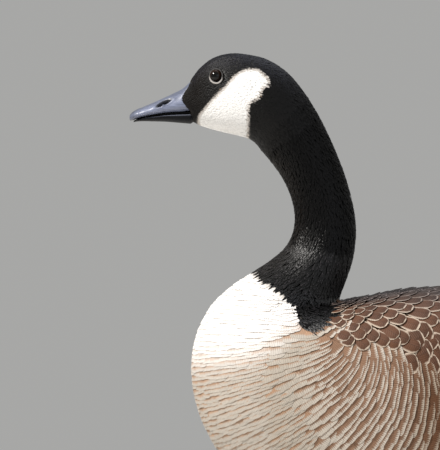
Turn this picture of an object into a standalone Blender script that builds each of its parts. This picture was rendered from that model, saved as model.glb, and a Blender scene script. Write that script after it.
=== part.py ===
"""Canada goose, life size, standing on both feet with its neck in a raised curve.

Metres, +Z up. The bird faces -X, its left side faces -Y, and the floor under its feet is z = 0.
The origin is on the floor, midway between the bill's tip and the tail's tip.
Head, neck and body are one lofted surface that is parted into nodes by thin flat cuts. The wings and
the tail carry their feathers as overlapping vanes. Sizes in the tables are in millimetres.
"""

import math
import random

import bmesh
import bpy
import numpy as np
from mathutils import Matrix, Vector

MM = 0.001
GAP = 0.3 * MM
TIP_TO_TIP = 649.2

# Sections from the lores to the tail's base. Each is an oval in a plane that holds the Y direction:
# back x, back z, belly x, belly z, half width, height of the widest place as a share, boxiness.
SECTIONS = {
    "lores": (-285.0, 528.4, -284.6, 499.4, 12.4, 0.46, 0.10),
    "bill_base": (-276.0, 534.2, -275.6, 500.6, 13.6, 0.46, 0.10),
    "forehead": (-268.4, 543.4, -268.0, 497.4, 15.6, 0.45, 0.10),
    "eye": (-258.0, 551.2, -258.4, 494.4, 18.2, 0.44, 0.10),
    "crown": (-244.8, 554.8, -248.0, 491.8, 21.0, 0.43, 0.08),
    "cheek": (-230.4, 554.0, -238.4, 489.6, 23.0, 0.43, 0.06),
    "ear": (-214.4, 549.8, -231.6, 487.8, 24.2, 0.44, 0.04),
    "hind_crown": (-199.4, 540.2, -227.4, 485.8, 24.4, 0.46, 0.02),
    "nape": (-187.2, 526.4, -223.6, 482.6, 23.8, 0.48, 0.0),
    "throat": (-177.6, 511.6, -219.4, 477.6, 23.0, 0.50, 0.0),
    "neck_1": (-168.8, 495.4, -213.6, 470.8, 22.4, 0.50, 0.0),
    "neck_2": (-160.2, 476.4, -207.0, 462.4, 22.2, 0.50, 0.0),
    "neck_3": (-152.8, 457.2, -200.8, 452.4, 22.4, 0.50, 0.0),
    "neck_4": (-147.4, 438.0, -195.8, 440.8, 22.8, 0.50, 0.0),
    "neck_5": (-144.4, 420.4, -192.8, 427.6, 23.4, 0.50, 0.0),
    "neck_6": (-144.4, 404.4, -193.6, 413.6, 24.8, 0.50, 0.0),
    "neck_7": (-147.0, 388.6, -199.6, 400.6, 27.4, 0.50, 0.0),
    "neck_8": (-151.6, 374.6, -211.4, 389.8, 31.6, 0.50, 0.0),
    "neck_root": (-155.6, 364.0, -226.4, 379.8, 37.6, 0.50, 0.0),
    "collar": (-157.4, 358.0, -242.2, 369.4, 46.0, 0.50, 0.0),
    "breast_1": (-156.4, 355.4, -256.6, 356.4, 56.0, 0.51, 0.0),
    "breast_2": (-152.0, 355.8, -266.4, 341.6, 66.0, 0.52, 0.0),
    "breast_3": (-145.6, 357.8, -272.8, 324.2, 75.0, 0.53, 0.0),
    "breast_4": (-136.6, 359.8, -275.2, 304.4, 82.5, 0.53, 0.02),
    "breast_5": (-125.6, 361.4, -273.2, 283.2, 89.0, 0.53, 0.04),
    "breast_6": (-111.6, 362.9, -265.6, 258.6, 94.5, 0.53, 0.06),
    "breast_7": (-94.0, 364.4, -251.0, 233.0, 99.0, 0.53, 0.08),
    "body_1": (-70.0, 365.4, -225.0, 203.0, 102.5, 0.53, 0.10),
    "body_2": (-38.0, 366.0, -181.0, 175.0, 104.5, 0.52, 0.10),
    "body_3": (0.0, 365.0, -117.0, 156.0, 104.5, 0.51, 0.10),
    "body_4": (45.0, 361.0, -45.0, 148.6, 102.0, 0.50, 0.08),
    "body_5": (95.0, 353.2, 28.0, 153.0, 95.5, 0.50, 0.06),
    "vent_1": (140.0, 343.0, 92.0, 170.0, 84.5, 0.52, 0.04),
    "vent_2": (180.0, 331.4, 148.0, 197.0, 69.5, 0.54, 0.02),
    "vent_3": (212.0, 320.6, 194.0, 230.0, 53.0, 0.56, 0.0),
    "vent_4": (240.0, 311.4, 231.0, 259.0, 38.5, 0.58, 0.0),
    "tail_base": (262.0, 304.4, 259.0, 281.0, 27.0, 0.60, 0.0),
}
PLACE = {name: i for i, name in enumerate(SECTIONS)}

# The nodes cut from that surface: name, where each starts and ends, rings, material.
BODY_NODES = (
    ("head", 0.0, PLACE["nape"] + 0.5, 15, "plumage_black"),
    ("neck_upper", PLACE["nape"] + 0.5, PLACE["neck_3"], 6, "plumage_black"),
    ("neck_middle", PLACE["neck_3"], PLACE["neck_6"], 5, "plumage_black"),
    ("neck_lower", PLACE["neck_6"], PLACE["collar"] - 0.3, 6, "plumage_black"),
    ("breast", PLACE["collar"] - 0.3, PLACE["breast_7"], 12, "plumage_breast"),
    ("torso", PLACE["breast_7"], PLACE["body_5"], 9, "plumage_brown"),
    ("rump", PLACE["body_5"], PLACE["tail_base"], 9, "plumage_vent"),
)
BODY_SIDES = 26
HEAD_SIDES = 28

# Behind the thighs the folded wings leave the body and run straight to the tail. These sections carry them.
WING_REAR = {
    "wing_1": (95.0, 355.0, 40.0, 160.0, 98.0, 0.50, 0.06),
    "wing_2": (140.0, 348.0, 105.0, 186.0, 91.0, 0.51, 0.04),
    "wing_3": (184.0, 339.0, 165.0, 214.0, 78.5, 0.52, 0.02),
    "wing_4": (225.0, 329.0, 215.0, 238.0, 62.0, 0.53, 0.0),
    "wing_5": (262.0, 319.0, 259.0, 256.0, 46.0, 0.54, 0.0),
    "wing_6": (292.0, 311.0, 292.0, 268.0, 32.0, 0.55, 0.0),
    "wing_tip": (316.0, 304.0, 316.0, 276.0, 22.0, 0.55, 0.0),
}

# Upper and lower halves of the bill, from behind the feather line to the tip, in the same columns.
UPPER_BILL = (
    (-270.0, 538.4, -270.0, 508.8, 12.8, 0.30, 0.0),
    (-281.6, 527.6, -281.6, 508.0, 12.5, 0.30, 0.0),
    (-288.8, 523.6, -288.8, 507.6, 12.0, 0.30, 0.0),
    (-296.8, 519.8, -296.8, 507.0, 11.3, 0.31, 0.0),
    (-304.8, 516.2, -304.8, 505.8, 10.6, 0.32, 0.0),
    (-312.8, 512.8, -312.8, 504.6, 9.8, 0.33, 0.0),
    (-318.6, 510.2, -318.6, 503.2, 8.6, 0.36, 0.0),
    (-322.6, 507.8, -322.6, 501.8, 6.4, 0.42, 0.0),
    (-324.6, 505.4, -324.6, 501.6, 3.2, 0.48, 0.0),
)
LOWER_BILL = (
    (-270.0, 508.2, -270.0, 498.2, 11.0, 0.62, 0.0),
    (-281.6, 507.4, -281.6, 499.2, 10.8, 0.62, 0.0),
    (-288.8, 507.0, -288.8, 499.8, 10.3, 0.62, 0.0),
    (-296.8, 506.4, -296.8, 500.4, 9.7, 0.62, 0.0),
    (-304.8, 505.2, -304.8, 500.6, 9.0, 0.62, 0.0),
    (-312.8, 504.0, -312.8, 500.8, 8.0, 0.60, 0.0),
    (-318.6, 502.6, -318.6, 500.6, 6.2, 0.56, 0.0),
    (-321.6, 501.2, -321.6, 500.0, 3.4, 0.50, 0.0),
)
BILL_SIDES = 16
BILL_EXTRA_RINGS = 3

# The line where feathers meet the bill, seen from the side: a lobe of feathers stands forward of it.
FEATHER_LINE_X = -276.6
FEATHER_LINE_TOP = 535.0
GAPE_Z = 508.4
FEATHER_LOBE = 6.6

NOSTRIL = {"x": -295.6, "y": 9.9, "z": 515.2, "long": 5.2, "high": 1.7, "deep": 3.0, "tilt_deg": 25.0}
EYE = {"x": -255.6, "y": 9.9, "z": 537.2, "radius": 6.3, "socket": 6.6, "out_deg": 8.0}
LIDS = {"ring": 5.5, "thick": 1.15, "out": 3.1}

# The wing's base: how far round the body it reaches at each place (degrees from the back's middle line)
# and how far it stands off the body there. Place, upper edge, lower edge, height.
WING_BASE = (
    (PLACE["breast_5"], 34.0, 54.0, 2.6),
    (PLACE["breast_6"], 19.0, 60.0, 5.5),
    (PLACE["breast_7"], 14.0, 64.0, 8.0),
    (PLACE["body_1"], 13.0, 71.0, 10.0),
    (PLACE["body_2"], 13.0, 82.0, 11.0),
    (PLACE["body_3"], 14.0, 94.0, 10.5),
    (PLACE["body_4"], 18.0, 97.0, 8.5),
    (PLACE["body_5"], 25.0, 91.0, 6.0),
    (PLACE["vent_1"] + 0.2, 34.0, 80.0, 4.0),
)
WING_EDGE_HEIGHT = 2.2

# Tiers of wing feathers: name, count, root place, root angles (first to last), length along the body in
# sections, turn of the tip (degrees round the body), half width (first to last), root sink, tip lift, panels.
WING_TIERS = (
    ("primary", 4, 31.4, (79.0, 64.0), (4.2, 4.8), -12.0, (9.0, 10.5), 1.4, 0.2, 3),
    ("secondary", 4, 30.0, (96.0, 64.0), (2.3, 3.1), -4.0, (17.5, 17.5), 1.6, 1.4, 3),
    ("tertial", 3, 28.9, (54.0, 28.0), (3.6, 4.4), 5.0, (19.0, 19.0), 1.8, 2.8, 4),
    ("greater_covert", 4, 28.6, (94.0, 57.0), (1.9, 2.2), -1.0, (18.5, 18.5), 1.6, 2.4, 2),
    ("median_covert", 3, 27.6, (84.0, 55.0), (1.7, 1.8), 2.0, (18.0, 18.0), 1.6, 2.6, 2),
    ("lesser_covert", 3, 26.5, (72.0, 47.0), (1.6, 1.7), 4.0, (15.0, 15.0), 1.4, 2.4, 2),
    ("rear_scapular", 2, 27.3, (40.0, 22.0), (2.5, 2.7), 3.0, (21.0, 21.0), 1.8, 3.6, 3),
    ("middle_scapular", 2, 25.8, (40.0, 22.0), (2.2, 2.3), 2.0, (19.0, 19.0), 1.8, 3.0, 2),
    ("front_scapular", 2, 24.6, (44.0, 28.0), (2.0, 2.1), 1.0, (14.0, 14.0), 1.4, 2.4, 2),
)
VANE_THICK = 0.7
VANE_TILT = -1.8
VANE_SEED = 4
VANE_VARY = {"angle": 0.8, "length": (0.97, 1.03)}
# A vane's half width along its length, as shares of its length and of its greatest half width.
VANE_OUTLINE = ((0.0, 0.55), (0.2, 0.82), (0.45, 1.0), (0.72, 0.97), (0.9, 0.70), (1.0, 0.26))

TAIL = {
    "pairs": 7,
    "root_in": 8.0,
    "outer_share": 0.86,
    "half_width": 13.5,
    "fan_deg": 24.0,
    "root_spread": 21.0,
    "step_down": 1.15,
    "droop_deg": 12.0,
    "root_z": 293.4,
    "base_long": 16.0,
    "base_half_width": 25.0,
    "base_half_height": 7.6,
}

LEG = {
    "thigh_top": (-10.0, 42.0, 200.0),
    "thigh_mid": (8.0, 48.0, 150.0),
    "thigh_low": (21.0, 52.0, 125.0),
    "ankle": (31.0, 54.0, 106.0),
    "foot": (6.0, 57.0, 15.0),
    "thigh_radii": ((44.0, 32.0), (29.0, 22.0), (16.0, 13.0), (9.6, 8.2)),
    "shank_radii": ((8.6, 7.4), (7.4, 6.4), (5.4, 4.4), (5.2, 4.4), (6.8, 6.0)),
    "shank_shares": (0.0, 0.1, 0.3, 0.75, 1.0),
}
LEG_SIDES = 14

# Toes from the foot's middle: name, length, turn outwards (degrees), root and tip half width, root and tip height.
TOES = (
    ("inner", 62.0, -27.0, 5.6, 3.4, 9.6, 5.0),
    ("middle", 82.0, 1.0, 6.2, 3.6, 10.6, 5.2),
    ("outer", 76.0, 27.0, 5.6, 3.4, 9.6, 5.0),
)
HIND_TOE = {"length": 17.0, "turn": 160.0, "z": 9.0, "radius": 3.0}
CLAW = {"length": 9.0, "radius": 2.5}
WEB = {"low": 0.4, "high": 2.2, "reach": 0.93, "scallop": 0.16, "steps": 5}
FOOT_PAD = {"radius_x": 11.0, "radius_y": 9.0}
FOOT_TURN_DEG = 5.0

COLOURS = {
    "plumage_black": ((0.012, 0.011, 0.012, 1.0), 0.62),
    "plumage_breast": ((0.62, 0.55, 0.47, 1.0), 0.80),
    "plumage_brown": ((0.16, 0.105, 0.07, 1.0), 0.70),
    "plumage_wing": ((0.13, 0.085, 0.06, 1.0), 0.70),
    "plumage_vent": ((0.80, 0.79, 0.76, 1.0), 0.80),
    "plumage_thigh": ((0.36, 0.30, 0.24, 1.0), 0.80),
    "bill_horn": ((0.020, 0.022, 0.026, 1.0), 0.35),
    "eye_gloss": ((0.020, 0.010, 0.006, 1.0), 0.05),
    "foot_skin": ((0.022, 0.021, 0.020, 1.0), 0.50),
}


class Surface:
    """A surface through a list of oval sections, smooth from one to the next."""

    def __init__(self, sections):
        self.table = np.array(list(sections), float) * [MM, MM, MM, MM, MM, 1.0, 1.0]

    def section(self, place):
        """The seven columns at a place between sections, by a cubic through its four neighbours."""
        last = len(self.table) - 1
        i = np.clip(np.floor(place).astype(int), 0, last - 1)
        t = (place - i)[..., None]
        rows = [self.table[np.clip(i + k, 0, last)] for k in (-1, 0, 1, 2)]
        slope_in = (rows[2] - rows[0]) / 2
        slope_out = (rows[3] - rows[1]) / 2
        rise = rows[2] - rows[1]
        curve = (3 * rise - 2 * slope_in - slope_out) * t**2
        return rows[1] + slope_in * t + curve + (slope_in + slope_out - 2 * rise) * t**3

    def point(self, place, angle):
        """The point at an angle round a section, from the back's middle line over the left side."""
        place, angle = np.broadcast_arrays(np.asarray(place, float), np.asarray(angle, float))
        back_x, back_z, belly_x, belly_z, half, widest, boxy = np.moveaxis(self.section(place), -1, 0)
        up = (1 + np.cos(angle)) / 2 + (widest - 0.5) * np.sin(angle) ** 2
        side = -half * np.sin(angle) * (1 + boxy * np.cos(angle) ** 2)
        return np.stack([belly_x + (back_x - belly_x) * up, side, belly_z + (back_z - belly_z) * up], -1)

    def normal(self, place, angle):
        """The outward normal there, from two short steps along the surface."""
        step = 0.02
        along = self.point(place + step, angle) - self.point(place - step, angle)
        around = self.point(place, angle + step) - self.point(place, angle - step)
        cross = np.cross(around, along)
        return cross / np.linalg.norm(cross, axis=-1, keepdims=True)

    def rings(self, places, sides):
        """Closed rings of points at these places."""
        angles = np.arange(sides) * 2 * math.pi / sides
        return self.point(np.asarray(places)[:, None], angles[None, :])


BODY = Surface(SECTIONS.values())
WING_CARRIER = Surface([*list(SECTIONS.values())[: PLACE["body_4"] + 1], *WING_REAR.values()])


def clear_scene():
    for obj in list(bpy.data.objects):
        bpy.data.objects.remove(obj)


def make_material(name):
    colour, roughness = COLOURS[name]
    material = bpy.data.materials.new(name)
    material.use_nodes = True
    shader = material.node_tree.nodes["Principled BSDF"]
    shader.inputs["Base Color"].default_value = colour
    shader.inputs["Roughness"].default_value = roughness
    return material


def add_object(name, mesh, collection):
    obj = bpy.data.objects.new(name, mesh)
    collection.objects.link(obj)
    return obj


def new_collection(name):
    collection = bpy.data.collections.new(name)
    bpy.context.scene.collection.children.link(collection)
    return collection


def loft_mesh(name, rings, plate=False):
    """A closed mesh of triangles through rings of equal count.

    Each end is a fan about its middle. A plate's rings hold its upper row and then its lower row
    backwards: its ends are strips between those rows, and its two faces are split alike, so that
    they never cross where it is thin.
    """
    rings = np.asarray(rings, float)
    count, sides = rings.shape[:2]
    points = [*rings.reshape(-1, 3)]
    end = (count - 1) * sides
    faces = []
    for j in range(sides):
        k = (j + 1) % sides
        for i in range(count - 1):
            a, b = i * sides + j, i * sides + k
            if plate and j >= sides // 2:
                faces += [(a, b, a + sides), (b, b + sides, a + sides)]
            else:
                faces += [(a, b, b + sides), (a, b + sides, a + sides)]
    if plate:
        for j in range(sides // 2 - 1):
            strip = (j, j + 1, sides - 2 - j, sides - 1 - j)
            faces += [strip[::-1], tuple(end + k for k in strip)]
    else:
        points += [rings[0].mean(0), rings[-1].mean(0)]
        hub = count * sides
        for j in range(sides):
            k = (j + 1) % sides
            faces += [(hub, k, j), (hub + 1, end + j, end + k)]
    mesh = bpy.data.meshes.new(name)
    mesh.from_pydata([tuple(p) for p in points], [], faces)
    return face_outwards(mesh)


def face_outwards(mesh):
    """Turns a closed mesh's faces outwards."""
    work = bmesh.new()
    work.from_mesh(mesh)
    if work.calc_volume(signed=True) < 0:
        bmesh.ops.reverse_faces(work, faces=work.faces)
    work.to_mesh(mesh)
    work.free()
    return mesh


def largest_part(mesh):
    """Keeps only the closed surface that holds the most."""
    work = bmesh.new()
    work.from_mesh(mesh)
    bmesh.ops.triangulate(work, faces=work.faces)
    left, parts = set(work.verts), []
    while left:
        todo, part = [left.pop()], []
        while todo:
            vert = todo.pop()
            part.append(vert)
            near = {edge.other_vert(vert) for edge in vert.link_edges} & left
            left -= near
            todo += near
        parts.append(part)

    def volume(part):
        faces = {face for vert in part for face in vert.link_faces}
        corners = ([v.co for v in face.verts] for face in faces)
        return sum(a.dot(b.cross(c)) for a, b, c in corners)

    keep = max(parts, key=volume)
    drop = set(work.verts) - set(keep)
    bmesh.ops.delete(work, geom=list(drop), context="VERTS")
    work.to_mesh(mesh)
    work.free()
    return mesh


def combine(obj, others, operation, solver="EXACT"):
    """Joins meshes to an object, or cuts them from it, by one Boolean on a collection that is then removed."""
    tools = new_collection("tools_of_" + obj.name)
    for i, mesh in enumerate(others):
        add_object(f"tool_{i}", mesh, tools)
    modifier = obj.modifiers.new("combine", "BOOLEAN")
    modifier.operation = operation
    modifier.solver = solver
    modifier.operand_type = "COLLECTION"
    modifier.collection = tools
    if solver == "EXACT":
        modifier.use_self = operation == "UNION"
    bpy.context.view_layer.update()
    graph = bpy.context.evaluated_depsgraph_get()
    mesh = bpy.data.meshes.new_from_object(obj.evaluated_get(graph))
    obj.modifiers.clear()
    obj.data = largest_part(mesh)
    for tool in list(tools.objects):
        bpy.data.objects.remove(tool)
    bpy.data.collections.remove(tools)


def dress(obj, material):
    obj.data.materials.clear()
    obj.data.materials.append(material)
    obj.data.shade_smooth()
    obj.data.set_sharp_from_angle(angle=math.radians(40))


def cut_rings(start, end, count, sides):
    """Rings of one body node, with both ends moved in by half the gap along their own plane's normal."""
    rings = BODY.rings(np.linspace(start, end, count), sides)
    for ring, inward in ((rings[0], rings[1]), (rings[-1], rings[-2])):
        spokes = ring - ring.mean(0)
        axis = np.cross(spokes[0], spokes[sides // 4])
        axis /= np.linalg.norm(axis)
        if np.dot(axis, inward.mean(0) - ring.mean(0)) < 0:
            axis = -axis
        ring += axis * GAP / 2
    return rings


def body_places():
    """All the places where the parted nodes have rings, once each."""
    found = [np.linspace(start, end, count) for _, start, end, count, _ in BODY_NODES]
    return np.unique(np.round(np.concatenate(found), 6))


def swollen_body():
    """The whole body grown by the gap, to cut from what lies on it."""
    places = body_places()
    angles = np.arange(BODY_SIDES) * 2 * math.pi / BODY_SIDES
    grown = BODY.point(places[:, None], angles) + GAP * 1.2 * BODY.normal(places[:, None], angles)
    return loft_mesh("swollen_body", grown)


def feather_line(z):
    """Where the feathers end along the bill at a height, in metres."""
    share = np.clip((FEATHER_LINE_TOP - z) / (FEATHER_LINE_TOP - GAPE_Z), 0, 1)
    return (FEATHER_LINE_X - FEATHER_LOBE * math.sin(math.pi * share) ** 1.3) * MM


def feather_line_block(far_x, shift):
    """A block with one face along the feather line, moved by shift, and the other at far_x."""
    heights = np.linspace(FEATHER_LINE_TOP + 15, GAPE_Z - 20, 19)
    edge = [(feather_line(z) + shift, z * MM) for z in heights]
    outline = [*edge, (far_x * MM, edge[-1][1]), (far_x * MM, edge[0][1])]
    half = 40 * MM
    return prism("feather_line_block", [(x, y, z) for y in (-half, half) for x, z in outline])


def prism(name, points):
    """A closed prism from one outline given twice, once for each end."""
    count = len(points) // 2
    mesh = bpy.data.meshes.new(name)
    walls = [(i, (i + 1) % count, (i + 1) % count + count, i + count) for i in range(count)]
    mesh.from_pydata(points, [], [tuple(range(count))[::-1], tuple(range(count, 2 * count)), *walls])
    work = bmesh.new()
    work.from_mesh(mesh)
    bmesh.ops.triangulate(work, faces=work.faces)
    bmesh.ops.recalc_face_normals(work, faces=work.faces)
    work.to_mesh(mesh)
    work.free()
    return face_outwards(mesh)


def ball(name, centre, radii, turn_y=0.0, segments=16, rings=10):
    """A sphere or ellipsoid as a mesh, turned about Y."""
    mesh = bpy.data.meshes.new(name)
    work = bmesh.new()
    place = Matrix.Translation(centre) @ Matrix.Rotation(turn_y, 4, "Y") @ Matrix.Diagonal((*radii, 1.0))
    bmesh.ops.create_uvsphere(work, u_segments=segments, v_segments=rings, radius=1.0, matrix=place)
    bmesh.ops.triangulate(work, faces=work.faces)
    work.to_mesh(mesh)
    work.free()
    return face_outwards(mesh)


def torus(name, centre, axis, ring, thick, around=20, section=8):
    """A closed ring of round section about an axis."""
    turn = Vector(axis).to_track_quat("Z", "Y").to_matrix()
    points = []
    for i in range(around):
        a = 2 * math.pi * i / around
        for j in range(section):
            b = 2 * math.pi * j / section
            out = ring + thick * math.cos(b)
            points.append(turn @ Vector((out * math.cos(a), out * math.sin(a), thick * math.sin(b))) + centre)
    faces = []
    for i in range(around):
        for j in range(section):
            a, b = i * section + j, i * section + (j + 1) % section
            c, d = (a + section) % len(points), (b + section) % len(points)
            faces += [(a, b, d), (a, d, c)]
    mesh = bpy.data.meshes.new(name)
    mesh.from_pydata([tuple(p) for p in points], [], faces)
    return face_outwards(mesh)


def eye_place(side):
    """The eyeball's middle and the way it looks, for side -1 (left) or 1 (right)."""
    middle = Vector((EYE["x"], side * EYE["y"], EYE["z"])) * MM
    out = math.radians(EYE["out_deg"])
    return middle, Vector((-math.sin(out), side * math.cos(out), math.sin(out) / 2)).normalized()


def build_head(obj):
    """Lids are joined on, then the sockets and the feather line are cut."""
    rings, sockets = [], []
    for side in (-1, 1):
        middle, look = eye_place(side)
        rings.append(torus("lid", middle + look * LIDS["out"] * MM, look, LIDS["ring"] * MM, LIDS["thick"] * MM))
        sockets.append(ball("socket", middle, (EYE["socket"] * MM,) * 3))
    combine(obj, rings, "UNION")
    combine(obj, [*sockets, feather_line_block(-320.0, GAP / 2)], "DIFFERENCE")


def build_bodies(home, materials):
    for name, start, end, count, material in BODY_NODES:
        sides = HEAD_SIDES if name == "head" else BODY_SIDES
        obj = add_object(name, loft_mesh(name, cut_rings(start, end, count, sides)), home)
        if name == "head":
            build_head(obj)
        dress(obj, materials[material])


def build_eyes(home, materials):
    for side, name in ((-1, "eye_left"), (1, "eye_right")):
        middle, _ = eye_place(side)
        obj = add_object(name, ball(name, middle, (EYE["radius"] * MM,) * 3, segments=16, rings=10), home)
        dress(obj, materials["eye_gloss"])


def build_bill(home, materials):
    nostrils = []
    for side in (-1, 1):
        middle = Vector((NOSTRIL["x"], side * NOSTRIL["y"], NOSTRIL["z"])) * MM
        radii = (NOSTRIL["long"] * MM, NOSTRIL["deep"] * MM, NOSTRIL["high"] * MM)
        nostrils.append(ball("nostril", middle, radii, math.radians(-NOSTRIL["tilt_deg"]), 12, 8))
    for name, table, cuts in (("bill_upper", UPPER_BILL, nostrils), ("bill_lower", LOWER_BILL, [])):
        surface = Surface(table)
        places = np.linspace(0, len(table) - 1, len(table) + BILL_EXTRA_RINGS)
        obj = add_object(name, loft_mesh(name, surface.rings(places, BILL_SIDES)), home)
        combine(obj, [*cuts, feather_line_block(-240.0, -GAP / 2)], "DIFFERENCE")
        dress(obj, materials["bill_horn"])


def wing_span(place):
    """Upper edge, lower edge (radians) and height of the wing's base at a place."""
    table = np.array(WING_BASE)
    upper, lower, height = (np.interp(place, table[:, 0], table[:, k]) for k in (1, 2, 3))
    return np.radians(upper), np.radians(lower), height


def wing_height(place, angle):
    """How far the wing's base stands off its carrier, highest midway between its edges."""
    upper, lower, height = wing_span(place)
    across = np.clip((angle - upper) / (lower - upper), 0, 1)
    return (WING_EDGE_HEIGHT + (height - WING_EDGE_HEIGHT) * np.sin(math.pi * across) ** 0.8) * MM


def mirror_side(points, side):
    """Points made for the left side, or their mirror image for the right."""
    return points * np.array([1.0, -side, 1.0])


def wing_base_mesh(side):
    """The feathered arm: a plate over the carrier, thickest at its middle, sunk into the body to be cut clear."""
    steps, across = 11, 8
    places = np.linspace(WING_BASE[0][0], WING_BASE[-1][0], steps)
    upper, lower, _ = wing_span(places)
    angles = upper[:, None] + (lower - upper)[:, None] * np.linspace(0, 1, across)
    place = np.repeat(places[:, None], across, 1)
    skin, out = WING_CARRIER.point(place, angles), WING_CARRIER.normal(place, angles)
    outer = skin + out * wing_height(place, angles)[..., None]
    inner = skin - out * 4 * MM
    rings = np.concatenate([outer, inner[:, ::-1]], axis=1)
    return loft_mesh("wing_base", mirror_side(rings, side), plate=True)


def vane_mesh(centre, out, side_way, half_widths, lift, flip):
    """A thin feather along a centre line. Its two faces lie alike, so it keeps its thickness where it bends."""
    across = np.array([-1.0, 1.0])
    tilt = flip * VANE_TILT * MM * across * (half_widths / half_widths.max())[:, None]
    top = centre[:, None] + side_way[:, None] * (half_widths[:, None] * across)[..., None]
    top = top + out[:, None] * (lift[:, None] + tilt)[..., None]
    low = top - out[:, None] * (VANE_THICK * MM)
    return loft_mesh("vane", np.concatenate([top, low[:, ::-1]], axis=1), plate=True)


def vane_shape(panels):
    """Shares along a vane and its half width there, with the tip always rounded."""
    shares, widths = np.array(VANE_OUTLINE).T
    inner = np.linspace(0, 0.72, panels)
    places = np.concatenate([inner, shares[-2:]])
    return places, np.interp(places, shares, widths)


def wing_vane(side, root, tip, half_width, sink, lift, panels, flip):
    """A feather that lies on the wing from its root to its tip, both given as place and angle."""
    shares, widths = vane_shape(panels)
    place = root[0] + (tip[0] - root[0]) * shares
    angle = np.radians(root[1] + (tip[1] - root[1]) * shares)
    centre, out = WING_CARRIER.point(place, angle), WING_CARRIER.normal(place, angle)
    along = np.gradient(centre, axis=0)
    side_way = np.cross(out, along)
    side_way /= np.linalg.norm(side_way, axis=1, keepdims=True)
    rise = wing_height(place, angle) + (-sink + (sink + lift) * shares**0.8) * MM
    parts = [mirror_side(part, side) for part in (centre, out, side_way)]
    return vane_mesh(*parts, widths * half_width * MM, rise, flip)


def wing_vanes(side):
    """All the feathers of one wing, tier by tier, no two quite alike."""
    chance = random.Random(VANE_SEED)
    vanes = []
    for _, count, start, angles, lengths, turn, widths, sink, lift, panels in WING_TIERS:
        for i in range(count):
            share = i / (count - 1)
            angle = angles[0] + (angles[1] - angles[0]) * share + chance.uniform(-1, 1) * VANE_VARY["angle"]
            length = (lengths[0] + (lengths[1] - lengths[0]) * share) * chance.uniform(*VANE_VARY["length"])
            half_width = widths[0] + (widths[1] - widths[0]) * share
            root, tip = (start, angle), (start + length, angle + turn + chance.uniform(-1, 1))
            vanes.append(wing_vane(side, root, tip, half_width, sink, lift, panels, 1.0))
    return vanes


def build_wings(home, materials):
    for side, name in ((-1, "wing_left"), (1, "wing_right")):
        obj = add_object(name, wing_base_mesh(side), home)
        combine(obj, wing_vanes(side), "UNION", "MANIFOLD")
        combine(obj, [swollen_body()], "DIFFERENCE")
        dress(obj, materials["plumage_wing"])


def tail_base_mesh():
    """The flat root that holds the tail feathers, just behind the body's last section."""
    angles = np.arange(16) * 2 * math.pi / 16
    back_x, back_z, belly_x, belly_z = BODY.table[-1][:4]
    lean = (back_x - belly_x) / (back_z - belly_z)
    rings = []
    for along, share in ((GAP, 1.0), (TAIL["base_long"] * MM * 0.6, 0.96), (TAIL["base_long"] * MM, 0.7)):
        y = TAIL["base_half_width"] * MM * share * np.sin(angles)
        z = TAIL["base_half_height"] * MM * share * np.cos(angles)
        middle = TAIL["root_z"] * MM - along * math.tan(math.radians(TAIL["droop_deg"]))
        x = belly_x + (middle + z - belly_z) * lean + along
        rings.append(np.stack([x, y, middle + z], -1))
    return loft_mesh("tail_base", rings)


def build_tail(home, materials):
    """Tail feathers in pairs, the middle pair on top and each next one under the last."""
    vanes = []
    start_x = BODY.table[-1][2] / MM + TAIL["root_in"]
    full_length = TIP_TO_TIP / 2 - start_x
    droop = math.radians(TAIL["droop_deg"])
    for i in range(TAIL["pairs"]):
        share = i / (TAIL["pairs"] - 1)
        for side in (-1, 1):
            turn = math.radians(TAIL["fan_deg"]) * share * side
            length = full_length * (1 + (TAIL["outer_share"] - 1) * share**2)
            forward = np.array([math.cos(turn), math.sin(turn), -math.tan(droop)])
            spread = side * TAIL["root_spread"] * (share + 0.08) * 0.8
            level = TAIL["root_z"] + 4.0 - i * TAIL["step_down"] - 0.5 * (side > 0)
            root = np.array([start_x, spread, level])
            shares, widths = vane_shape(3)
            centre = (root + forward * (length * shares)[:, None]) * MM
            out = np.tile(np.array([math.sin(droop), 0.0, math.cos(droop)]), (len(shares), 1))
            side_way = np.cross(out, np.tile(forward, (len(shares), 1)))
            side_way /= np.linalg.norm(side_way, axis=1, keepdims=True)
            lift = np.zeros(len(shares))
            vanes.append(vane_mesh(centre, out, side_way, widths * TAIL["half_width"] * MM, lift, 0.0))
    obj = add_object("tail", tail_base_mesh(), home)
    combine(obj, vanes, "UNION")
    dress(obj, materials["plumage_black"])


def limb_rings(path, radii, level_end=None):
    """Oval rings square to a path, the last one level at a height if that is given."""
    angles = np.arange(LEG_SIDES) * 2 * math.pi / LEG_SIDES
    path = np.array(path, float)
    ways = np.gradient(path, axis=0)
    rings = []
    for i, (place, way, (long, wide)) in enumerate(zip(path, ways, radii)):
        way = way / np.linalg.norm(way)
        ahead = np.array([way[2], 0.0, -way[0]])
        ahead /= np.linalg.norm(ahead)
        across = np.cross(way, ahead)
        ring = place + long * np.cos(angles)[:, None] * ahead + wide * np.sin(angles)[:, None] * across
        if level_end is not None and i == len(path) - 1:
            ring[:, 2] = level_end
        rings.append(ring * MM)
    return np.array(rings)


def at_side(point, side):
    return np.array([point[0], point[1] * side, point[2]])


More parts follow.
